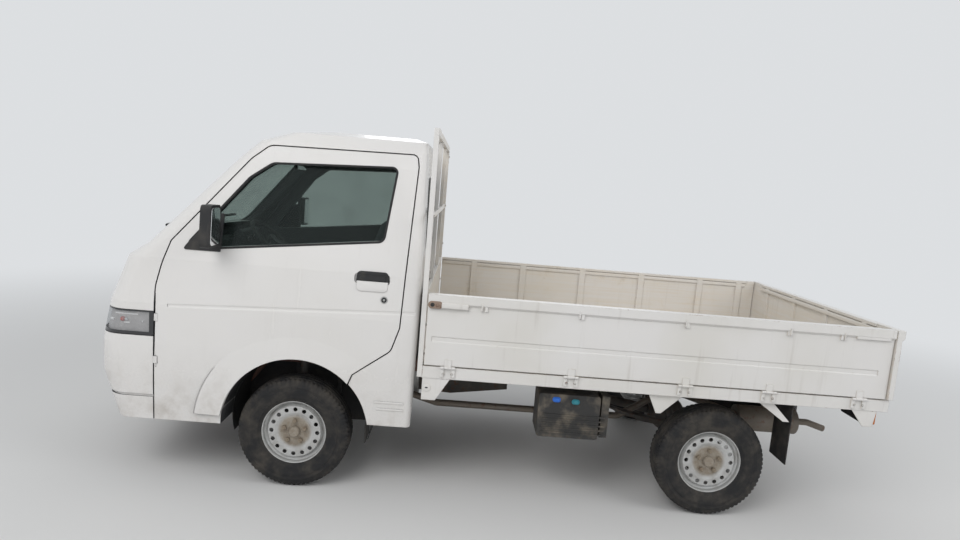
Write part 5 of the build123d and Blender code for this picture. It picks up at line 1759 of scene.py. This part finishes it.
@dataclass(frozen=True)
class Cockpit:
    """Everything small inside the cab: vents, dials, levers, belts, visors and door panels."""

    vents: Outline = ((-0.600, 1.075), (-0.110, 1.085), (0.075, 1.085), (0.640, 1.075))
    vent_half: Flat = (0.060, 0.028)
    vent_rim: float = 0.004
    slats: int = 5
    stack: Tuple[Point, Point] = ((-0.010, -0.115, 0.925), (0.012, 0.095, 1.045))
    radio: Tuple[Point, Point] = ((0.008, -0.100, 0.990), (0.0145, 0.080, 1.035))
    knobs: Tuple[Flat, ...] = ((-0.075, 0.957), (-0.010, 0.957), (0.055, 0.957))
    glovebox: Outline = ((-0.59, 0.925), (-0.25, 0.925), (-0.25, 1.035), (-0.59, 1.035))
    glove_latch: Tuple[Point, Point] = ((-0.002, -0.445, 1.008), (0.008, -0.395, 1.024))
    dial_sizes: Tuple[Flat, ...] = ((0.315, 0.048), (0.425, 0.040))
    dial_z: float = 1.190
    dial_out: Point = (0.94, 0, 0.342)
    dial_sweep: Tuple[float, float, int] = (-40, 260, 13)
    pointer: float = 3.5
    column: Point = (-0.478, 0.370, 1.165)
    stalks: Tuple[Tuple[int, float], ...] = ((LEFT, 0.155), (RIGHT, 0.150))
    lever_foot: Point = (-0.300, 0.0, 0.745)
    boot: Tuple[Flat, ...] = (
        (0.062, 0.0), (0.054, 0.012), (0.056, 0.020), (0.040, 0.034), (0.042, 0.042),
        (0.026, 0.060), (0.027, 0.068), (0.013, 0.095))
    brake_foot: Point = (0.020, 0.075, 0.752)
    pedals: Tuple[Flat, ...] = ((0.255, 0.034), (0.355, 0.040), (0.460, 0.024))
    pedal: Flat = (-0.640, 0.560)
    visor: Tuple[float, float, float] = (-0.300, -0.150, 0.17)
    visor_y: float = 0.34
    visor_pin: Flat = (-0.160, 0.47)
    mirror_x: float = -0.270
    roof_lamp_x: float = 0.10
    belt: Tuple[float, float, float] = (0.535, 1.56, 0.78)
    belt_width: float = 0.046
    buckle: Tuple[Span, float, Span] = ((0.165, 0.190), 0.112, (0.7455, 0.905))
    armrest: Tuple[Outline, ...] = (
        ((-0.08, 1.000), (0.25, 1.032)), ((0.16, 1.020), (0.22, 1.085)))
    crank: Flat = (-0.16, 1.00)
    release: Flat = (-0.30, 1.10)
    panel: Outline = ((-0.50, 0.62), (0.30, 0.82), (0.40, 1.13), (-0.50, 1.13))

    def build(self, shop: Shop) -> None:
        """Makes every piece."""
        self.dash(shop)
        self.dials(shop)
        self.levers(shop)
        self.overhead(shop)
        self.belts(shop)
        for side, hand in SIDES.items():
            self.door_panel(shop, side, hand)

    def on_dash(self, skin: Skin, y: float, z: float) -> Hit:
        """The dashboard's face at a place, seen from the seats."""
        return skin.shoot(spot(-0.2, y, z), -REARWARD)

    def dash(self, shop: Shop) -> None:
        """Makes the vents, the middle stack and the glovebox's edge."""
        skin, mesh, dark = Skin("dashboard"), bmesh.new(), bmesh.new()
        (w, h), rim = self.vent_half, self.vent_rim
        for y, z in self.vents:
            hit = self.on_dash(skin, y, z)
            if not hit:
                continue
            vent = Vector((hit[0].x, y, z))
            rounded_box(dark, off(vent, -rim, -w, -h), off(vent, 0.003, w, h), 0.002)
            for k in range(self.slats):
                low = rim - h + k * (2 * h - 2 * rim) / self.slats
                rounded_box(mesh, off(vent, -0.002, rim - w, low),
                            off(vent, 0.009, w - rim, low + 0.0035), 0.001)
            for end in (-1, 1):
                rounded_box(mesh, off(vent, -rim, end * w - rim, -h - rim),
                            off(vent, 0.010, end * w + rim, h + rim), 0.003)
                rounded_box(mesh, off(vent, -rim, -w - rim, end * h - rim),
                            off(vent, 0.010, w + rim, end * h + rim), 0.003)
        face = Vector((self.on_dash(skin, -0.02, 0.985)[0].x, 0, 0))
        rounded_box(mesh, *(face + Vector(corner) for corner in self.stack), 0.006, 3)
        rounded_box(dark, *(face + Vector(corner) for corner in self.radio), 0.002)
        for y, z in self.knobs:
            place = off(face, 0.010, y, z)
            round_bar(dark, place, off(place, 0.018), 0.017, 0.003, 24)
        face.x = self.on_dash(skin, -0.42, 0.985)[0].x
        spots = [off(face, 0, p.x, p.y)
                 for p in divided(rounded_outline(self.glovebox, 0.02), 0.03)]
        ribbon(dark, spots, [REARWARD] * len(spots), 0.004, 0.0012)
        rounded_box(dark, *(face + Vector(corner) for corner in self.glove_latch), 0.003)
        shop.piece("dash_vents", mesh, "inside_grey", slot="cabin_plastic")
        shop.piece("dash_controls", dark, "black_plastic", slot="black_plastic")

    def dials(self, shop: Shop) -> None:
        """Makes the two dials behind the steering wheel, with plain marks and pointers."""
        skin, face, marks = Skin("dashboard"), bmesh.new(), bmesh.new()
        out, across = Vector(self.dial_out), Vector((0, 1, 0))
        up = out.cross(across).normalized()
        first, sweep, count = self.dial_sweep
        for y, radius in self.dial_sizes:
            hit = self.on_dash(skin, y, self.dial_z)
            if not hit:
                continue
            place = hit[0] + out * 0.001
            round_bar(face, place - out * 0.004, place + out * 0.002, radius, 0.001, 40)
            for k in range(count):
                a = math.radians(first + k * sweep / (count - 1))
                ray = across * math.cos(a) + up * math.sin(a)
                bar_along(marks, [place + ray * radius * share + out * 0.0025
                                  for share in (0.78, 0.93)], 0.0009, 6)
            ray = across * math.cos(self.pointer) + up * math.sin(self.pointer)
            bar_along(marks, [place + out * 0.004, place + ray * radius * 0.75 + out * 0.004],
                      0.0012, 6)
        if face.verts:
            shop.piece("dial_faces", face, "black_plastic")
            shop.piece("dial_marks", marks, "plate_white")

    def levers(self, shop: Shop) -> None:
        """Makes the gear lever with its boot, the hand brake, the stalks and the pedals."""
        mesh, metal = bmesh.new(), bmesh.new()
        foot, brake = spot(*self.lever_foot), spot(*self.brake_foot)
        for (r0, z0), (r1, z1) in zip(self.boot, self.boot[1:]):
            round_bar(mesh, off(foot, z=z0), off(foot, z=z1), (r0 + r1) / 2, 0.002, 28)
        bar_along(metal, [off(foot, z=0.05), off(foot, -0.02, z=0.20), off(foot, -0.012, z=0.33)],
                  0.0065, 12)
        ball(mesh, off(foot, -0.012, z=0.345), 0.024, 24, 16, 1.25)
        bar_along(metal, [brake, off(brake, -0.12, z=0.055)], 0.009, 12)
        bar_along(mesh, [off(brake, -0.11, z=0.050), off(brake, -0.24, z=0.110)], 0.0145, 14)
        x, y, z = self.column
        for side, reach in self.stalks:
            base = spot(x - 0.075, y + side * 0.03, z - 0.062)
            bar_along(mesh, [base, off(base, 0.012, side * reach, 0.012)], 0.0065, 10)
            bar_along(mesh, [off(base, 0.010, side * (reach - 0.03), 0.010),
                             off(base, 0.012, side * (reach + 0.02), 0.013)], 0.0095, 10)
        for y, w in self.pedals:
            pad = spot(self.pedal[0], y, self.pedal[1])
            rounded_box(mesh, off(pad, -0.006, -w, -0.026), off(pad, 0.006, w, 0.026), 0.004)
            bar_along(metal, [off(pad, -0.006), off(pad, -0.060, z=0.14),
                              off(pad, -0.085, z=0.28)], 0.006, 8)
        shop.piece("cab_levers", mesh, "black_plastic", slot="black_plastic")
        shop.piece("lever_rods", metal, "zinc")

    def overhead(self, shop: Shop) -> None:
        """Makes the sun visors, the inner mirror and the roof lamp."""
        skin, cloth, dark, glass = Skin("cab_shell"), bmesh.new(), bmesh.new(), bmesh.new()
        (front, rear, half), (pin_x, pin_y) = self.visor, self.visor_pin
        for side in SIDES:
            y = side * self.visor_y
            z = skin.shoot(spot(-0.235, y, 1.5), UP)[0].z - 0.020
            rounded_box(cloth, spot(front, y - half, z - 0.014), spot(rear, y + half, z), 0.007, 3)
            round_bar(dark, spot(pin_x, side * pin_y, z - 0.006),
                      spot(pin_x, side * pin_y, z + 0.03), 0.005)
        top = skin.shoot(spot(self.mirror_x, 0, 1.5), UP)[0]
        bar_along(dark, [off(top, z=0.004), off(top, 0.010, z=-0.040), off(top, 0.035, z=-0.075)],
                  0.0055, 10)
        centre = off(top, 0.042, z=-0.085)
        rounded_box(dark, off(centre, -0.010, -0.11, -0.030), off(centre, 0.010, 0.11, 0.030),
                    0.009, 3)
        rounded_box(glass, off(centre, 0.0085, -0.103, -0.024), off(centre, 0.0112, 0.103, 0.024),
                    0.001)
        lamp = skin.shoot(spot(self.roof_lamp_x, 0, 1.5), UP)[0]
        rounded_box(cloth, off(lamp, -0.055, -0.032, -0.016), off(lamp, 0.055, 0.032, 0.003),
                    0.006, 3)
        shop.piece("sun_visors", cloth, "headlining", slot="cabin_plastic")
        shop.piece("inner_mirror", dark, "black_plastic", slot="black_plastic")
        shop.piece("inner_mirror_glass", glass, "mirror_silver")

    def belts(self, shop: Shop) -> None:
        """Hangs the seat belts on the rear pillars, with their reels and buckles."""
        strap, dark, skin = bmesh.new(), bmesh.new(), Skin("cab_shell")
        (x, top, drop), ((front, rear), inner, (low, high)) = self.belt, self.buckle
        for side in SIDES:
            hits = [skin.shoot(spot(x, 0, top - drop * k / 14), Vector((0, side, 0)))
                    for k in range(15)]
            line = [off(hit[0], y=-side * 0.006) for hit in hits if hit]
            if len(line) > 3:
                ribbon(strap, line, [Vector((0, -side, 0))] * len(line), self.belt_width, 0.0016,
                       False, 0.0)
                rounded_box(dark, off(line[0], -0.022, -0.010, -0.020),
                            off(line[0], 0.022, 0.010, 0.030), 0.006, 3)
                rounded_box(dark, off(line[-1], -0.035, -0.020, -0.035),
                            off(line[-1], 0.035, 0.020, 0.045), 0.006, 3)
            rounded_box(dark, spot(front, side * inner - 0.010, low),
                        spot(rear, side * inner + 0.010, high), 0.004, 3)
        shop.piece("belt_straps", strap, "belt_webbing")
        shop.piece("belt_fittings", dark, "black_plastic", slot="black_plastic")

    def door_panel(self, shop: Shop, side: int, hand: str) -> None:
        """Makes a door's armrest, release, window crank and trim edge."""
        skin, mesh, toward = Skin(f"door_{hand}"), bmesh.new(), Vector((0, side, 0))
        level = skin.within(side, 0.10, 1.02)[0].y
        low, high = sorted((level + side * 0.004, level - side * 0.048))
        for (x0, z0), (x1, z1) in self.armrest:
            rounded_box(mesh, spot(x0, low, z0), spot(x1, high, z1), 0.012, 3)
        place = skin.within(side, *self.crank)[0] + toward * 0.002
        round_bar(mesh, place, place - toward * 0.022, 0.024, 0.004, 28)
        arm = place - toward * 0.018
        knob = off(arm, 0.078, z=-0.057)
        bar_along(mesh, [arm, off(arm, 0.075, z=-0.055)], 0.007, 10)
        round_bar(mesh, knob, knob - toward * 0.035, 0.010, 0.003, 18)
        hit = skin.within(side, *self.release)
        if hit:
            rounded_box(mesh, off(hit[0], -0.05, side * 0.002, -0.016),
                        off(hit[0], 0.05, -side * 0.012, 0.016), 0.006, 3)
        edge = divided(rounded_outline(self.panel, 0.04), 0.03)
        hits = [hit for hit in (skin.within(side, p.x, p.y) for p in edge) if hit]
        ribbon(mesh, [h[0] for h in hits], [h[1] for h in hits], 0.008, 0.002)
        shop.piece(f"door_panel_{hand}", mesh, "inside_grey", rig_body(f"door_{hand}"),
                   slot="cabin_plastic")


@dataclass(frozen=True)
class SpareWheel:
    """The spare wheel under the bed: tyre, pressed disc and carrier."""

    centre: Point = (2.725, 0.0, 0.430)
    bar_z: Span = (0.590, 0.612)
    bar_x: Span = (2.4403, 2.9597)
    rod_z: float = 0.375
    cups: Tuple[Tuple[float, float, float, float, int], ...] = (
        (-0.060, -0.038, 0.045, 0.004, 30), (-0.072, -0.058, 0.016, 0.002, 6))
    section: Tuple[Flat, ...] = (
        (0.020, -0.049), (0.030, -0.049), (0.060, -0.043), (0.100, -0.046), (0.118, -0.036),
        (0.140, -0.040), (0.150, -0.028), (0.152, 0.020), (0.160, 0.040), (0.174, 0.052),
        (0.182, 0.060), (0.182, 0.056), (0.165, 0.044), (0.158, 0.018), (0.156, -0.030),
        (0.165, -0.048), (0.182, -0.060), (0.182, -0.064), (0.160, -0.052), (0.130, -0.047),
        (0.020, -0.054))

    def build(self, shop: Shop) -> None:
        """Makes the three pieces in place of the plain one."""
        middle = spot(*self.centre)
        tyre = RoadTyre().build(Vector())
        lay = Matrix.Translation(middle) @ Matrix.Rotation(math.radians(90), 4, "X")
        bmesh.ops.transform(tyre, matrix=lay, verts=tyre.verts[:])
        rubber = shop.piece("spare_tyre", tyre, "rubber", slot="tyre")
        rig.replaces(rubber, "spare_wheel")
        disc, carrier = bmesh.new(), bmesh.new()
        loft(disc, [[disc.verts.new(off(middle, r * math.cos(a), r * math.sin(a), z))
                     for r, z in self.section] for a in turns(64)], wrap=True)
        shop.piece("spare_disc", disc, "wheel_grey", slot="wheel_steel")
        (low, high), (front, rear), x = self.bar_z, self.bar_x, self.centre[0]
        rounded_box(carrier, spot(front, -0.025, low), spot(rear, 0.025, high), 0.003)
        bar_along(carrier, [spot(x, 0, high - 0.01), spot(x, 0, self.rod_z)], 0.011, 14)
        for low, high, *form in self.cups:
            round_bar(carrier, off(middle, z=low), off(middle, z=high), *form)
        shop.piece("spare_carrier", carrier, "chassis_black", slot="black_paint")


@dataclass(frozen=True)
class CarriedOver:
    """The finish of each node that shows as it was built."""

    finishes: Tuple[Tuple[str, str], ...] = (
        ("cab_shell", "cab_white"), ("front_bumper", "cab_white"), ("front_lid", "cab_white"),
        ("door_left", "cab_white"), ("door_right", "cab_white"), ("front_grille", "dark_grille"),
        ("headlamps", "lamp_clear"), ("door_glass_left", "glass"), ("door_glass_right", "glass"),
        ("cab_glass", "glass"), ("door_fittings_left", "black_plastic"),
        ("door_fittings_right", "black_plastic"), ("seats", "seat_cloth"),
        ("dashboard", "inside_grey"), ("steering_wheel", "black_plastic"),
        ("engine", "alloy"), ("driveline", "cast_iron"), ("radiator", "chassis_black"),
        ("chassis_frame", "red_primer"), ("knuckle_left", "cast_iron"),
        ("knuckle_right", "cast_iron"), ("front_suspension", "chassis_black"),
        ("battery_box", "dusty_box"), ("fuel_tank", "chassis_black"),
        ("exhaust", "pipe_steel"), ("rear_axle", "cast_iron"), ("rear_springs", "cast_iron"),
        ("spare_wheel", "rubber"), ("bed_floor", "deck_white"), ("gate_left", "deck_white"),
        ("gate_right", "deck_white"), ("tailgate", "deck_white"),
        ("hinge_brackets", "deck_white"), ("headboard", "deck_white"),
        ("wipers", "black_plastic"), ("mud_flaps", "rubber"), ("tail_lamps", "lamp_red"),
        ("bed_brackets", "deck_white"),
    )

    def build(self, shop: Shop) -> None:
        """Dresses every node in the table."""
        for node, finish in self.finishes:
            shop.paints.dress(frame["nodes"][node], shop.paints.get(finish))
            log.info("%s keeps its shape, %s", node, finish)


@dataclass(frozen=True)
class Studio:
    """Floor, lamps, world and camera."""

    place: Point = (-0.1775, -4.18, 1.65)
    yaw: float = 1.56
    dip: float = 7.16
    roll: float = 4.75
    focal_pixels: float = 670.0
    picture_width: float = 960.0
    floor_half: float = 60.0
    floor_colour: Colour = (0.70, 0.692, 0.68)
    far_colour: Colour = (0.80, 0.82, 0.84)
    far_strength: float = 0.9
    fade: Span = (2.9, 8.5)
    sky_colour: Colour = (0.92, 0.96, 1.0)
    sky_strength: float = 0.50
    hung: Tuple[Tuple[str, Point, Point, float, float], ...] = (
        ("key", (-3.5, -6.5, 6.0), (0.0, 0.0, 0.7), 5.0, 330.0),
        ("fill", (5.5, -3.0, 4.5), (0.5, 0.0, 0.6), 4.0, 110.0),
        ("back", (0.5, 6.0, 5.0), (0.0, 0.0, 0.8), 5.0, 90.0))

    def build(self, shop: Shop) -> None:
        """Sets up the whole studio."""
        self.camera()
        self.floor()
        self.world()
        self.lamps()

    def camera(self) -> None:
        """Places the camera by its pan, dip and roll in degrees."""
        yaw, dip, roll = (math.radians(a) for a in (self.yaw, self.dip, self.roll))
        ahead = Vector((math.sin(yaw) * math.cos(dip), math.cos(yaw) * math.cos(dip),
                        -math.sin(dip)))
        level = Vector((math.cos(yaw), -math.sin(yaw), 0.0))
        above = level.cross(ahead)
        across = math.cos(roll) * level + math.sin(roll) * above
        upward = -math.sin(roll) * level + math.cos(roll) * above
        data = bpy.data.cameras.new("camera")
        data.sensor_width = 36.0
        data.lens = data.sensor_width * self.focal_pixels / self.picture_width
        data.clip_end = 500.0
        camera = bpy.data.objects.new("camera", data)
        turn = Matrix((across, upward, -ahead)).transposed()
        camera.matrix_world = Matrix.Translation(self.place) @ turn.to_4x4()
        bpy.context.scene.collection.objects.link(camera)
        bpy.context.scene.camera = camera

    def floor(self) -> None:
        """Lays a plain pale floor."""
        mesh = bmesh.new()
        bmesh.ops.create_grid(mesh, x_segments=1, y_segments=1, size=self.floor_half)
        data = bpy.data.meshes.new("floor")
        mesh.to_mesh(data)
        mesh.free()
        floor = bpy.data.objects.new("floor", data)
        bpy.context.scene.collection.objects.link(floor)
        g = Graph("floor")
        x, y, _ = g.axes()
        near = g.node("ShaderNodeBsdfPrincipled", None, {
            "Base Color": (*self.floor_colour, 1.0), "Roughness": 0.85})
        far = g.node("ShaderNodeEmission", None, {
            "Color": (*self.far_colour, 1.0), "Strength": self.far_strength})
        fade = ((x * x + y * y) ** 0.5).step(*self.fade) * self.seen(g)
        data.materials.append(g.close(g.blend(fade, near, far)))
        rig.stage(floor)

    def seen(self, g: Graph) -> Sock:
        """A mask of the rays that show the surroundings: straight, mirrored or through glass."""
        rays = [g.node("ShaderNodeLightPath", output=f"Is {kind} Ray")
                for kind in ("Camera", "Glossy", "Transmission")]
        return rays[0].either(rays[1]).either(rays[2])

    def world(self) -> None:
        """A soft pale sky that lights the truck and shows behind it."""
        g = Graph("studio", world=True)
        lit, shown = (g.node("ShaderNodeBackground", None,
                             {"Color": (*colour, 1.0), "Strength": strength})
                      for colour, strength in ((self.sky_colour, self.sky_strength),
                                               (self.far_colour, self.far_strength)))
        bpy.context.scene.world = g.close(g.blend(self.seen(g), lit, shown), "World")

    def lamps(self) -> None:
        """Hangs the soft lamps: name, place, aim, size and power. Only the back one is mirrored."""
        for name, place, aim, size, power in self.hung:
            data = bpy.data.lights.new(name, "AREA")
            data.shape, data.size, data.energy = "SQUARE", size, power
            lamp = bpy.data.objects.new(name, data)
            lamp.location = place
            lamp.visible_glossy = name == "back"
            toward = Vector(aim) - Vector(place)
            lamp.rotation_euler = toward.to_track_quat("-Z", "Y").to_euler()
            bpy.context.scene.collection.objects.link(lamp)


def main() -> None:
    """Builds the studio and every part of the truck, then notes the two boxes."""
    logging.basicConfig(level=logging.INFO, format="%(name)s: %(message)s")
    bpy.context.scene.view_settings.view_transform = "Standard"
    shop = Shop()
    for part in (Studio(), CarriedOver(), Wheels(), SpareWheel(), Seals(), HeadlampInsides(),
                 CabTrim(), WheelHouses(), BedTrim(), UnderTrim(), Cockpit(), Upholstery()):
        part.build(shop)
    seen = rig.bounds()
    boxes = {"cad": [list(corner) for corner in CAD_BOX],
             "visual": [list(corner) for corner in seen]}
    with open("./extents.json", "w", encoding="utf-8") as out:
        json.dump(boxes, out, indent=1)


if __name__ == "__main__":
    main()
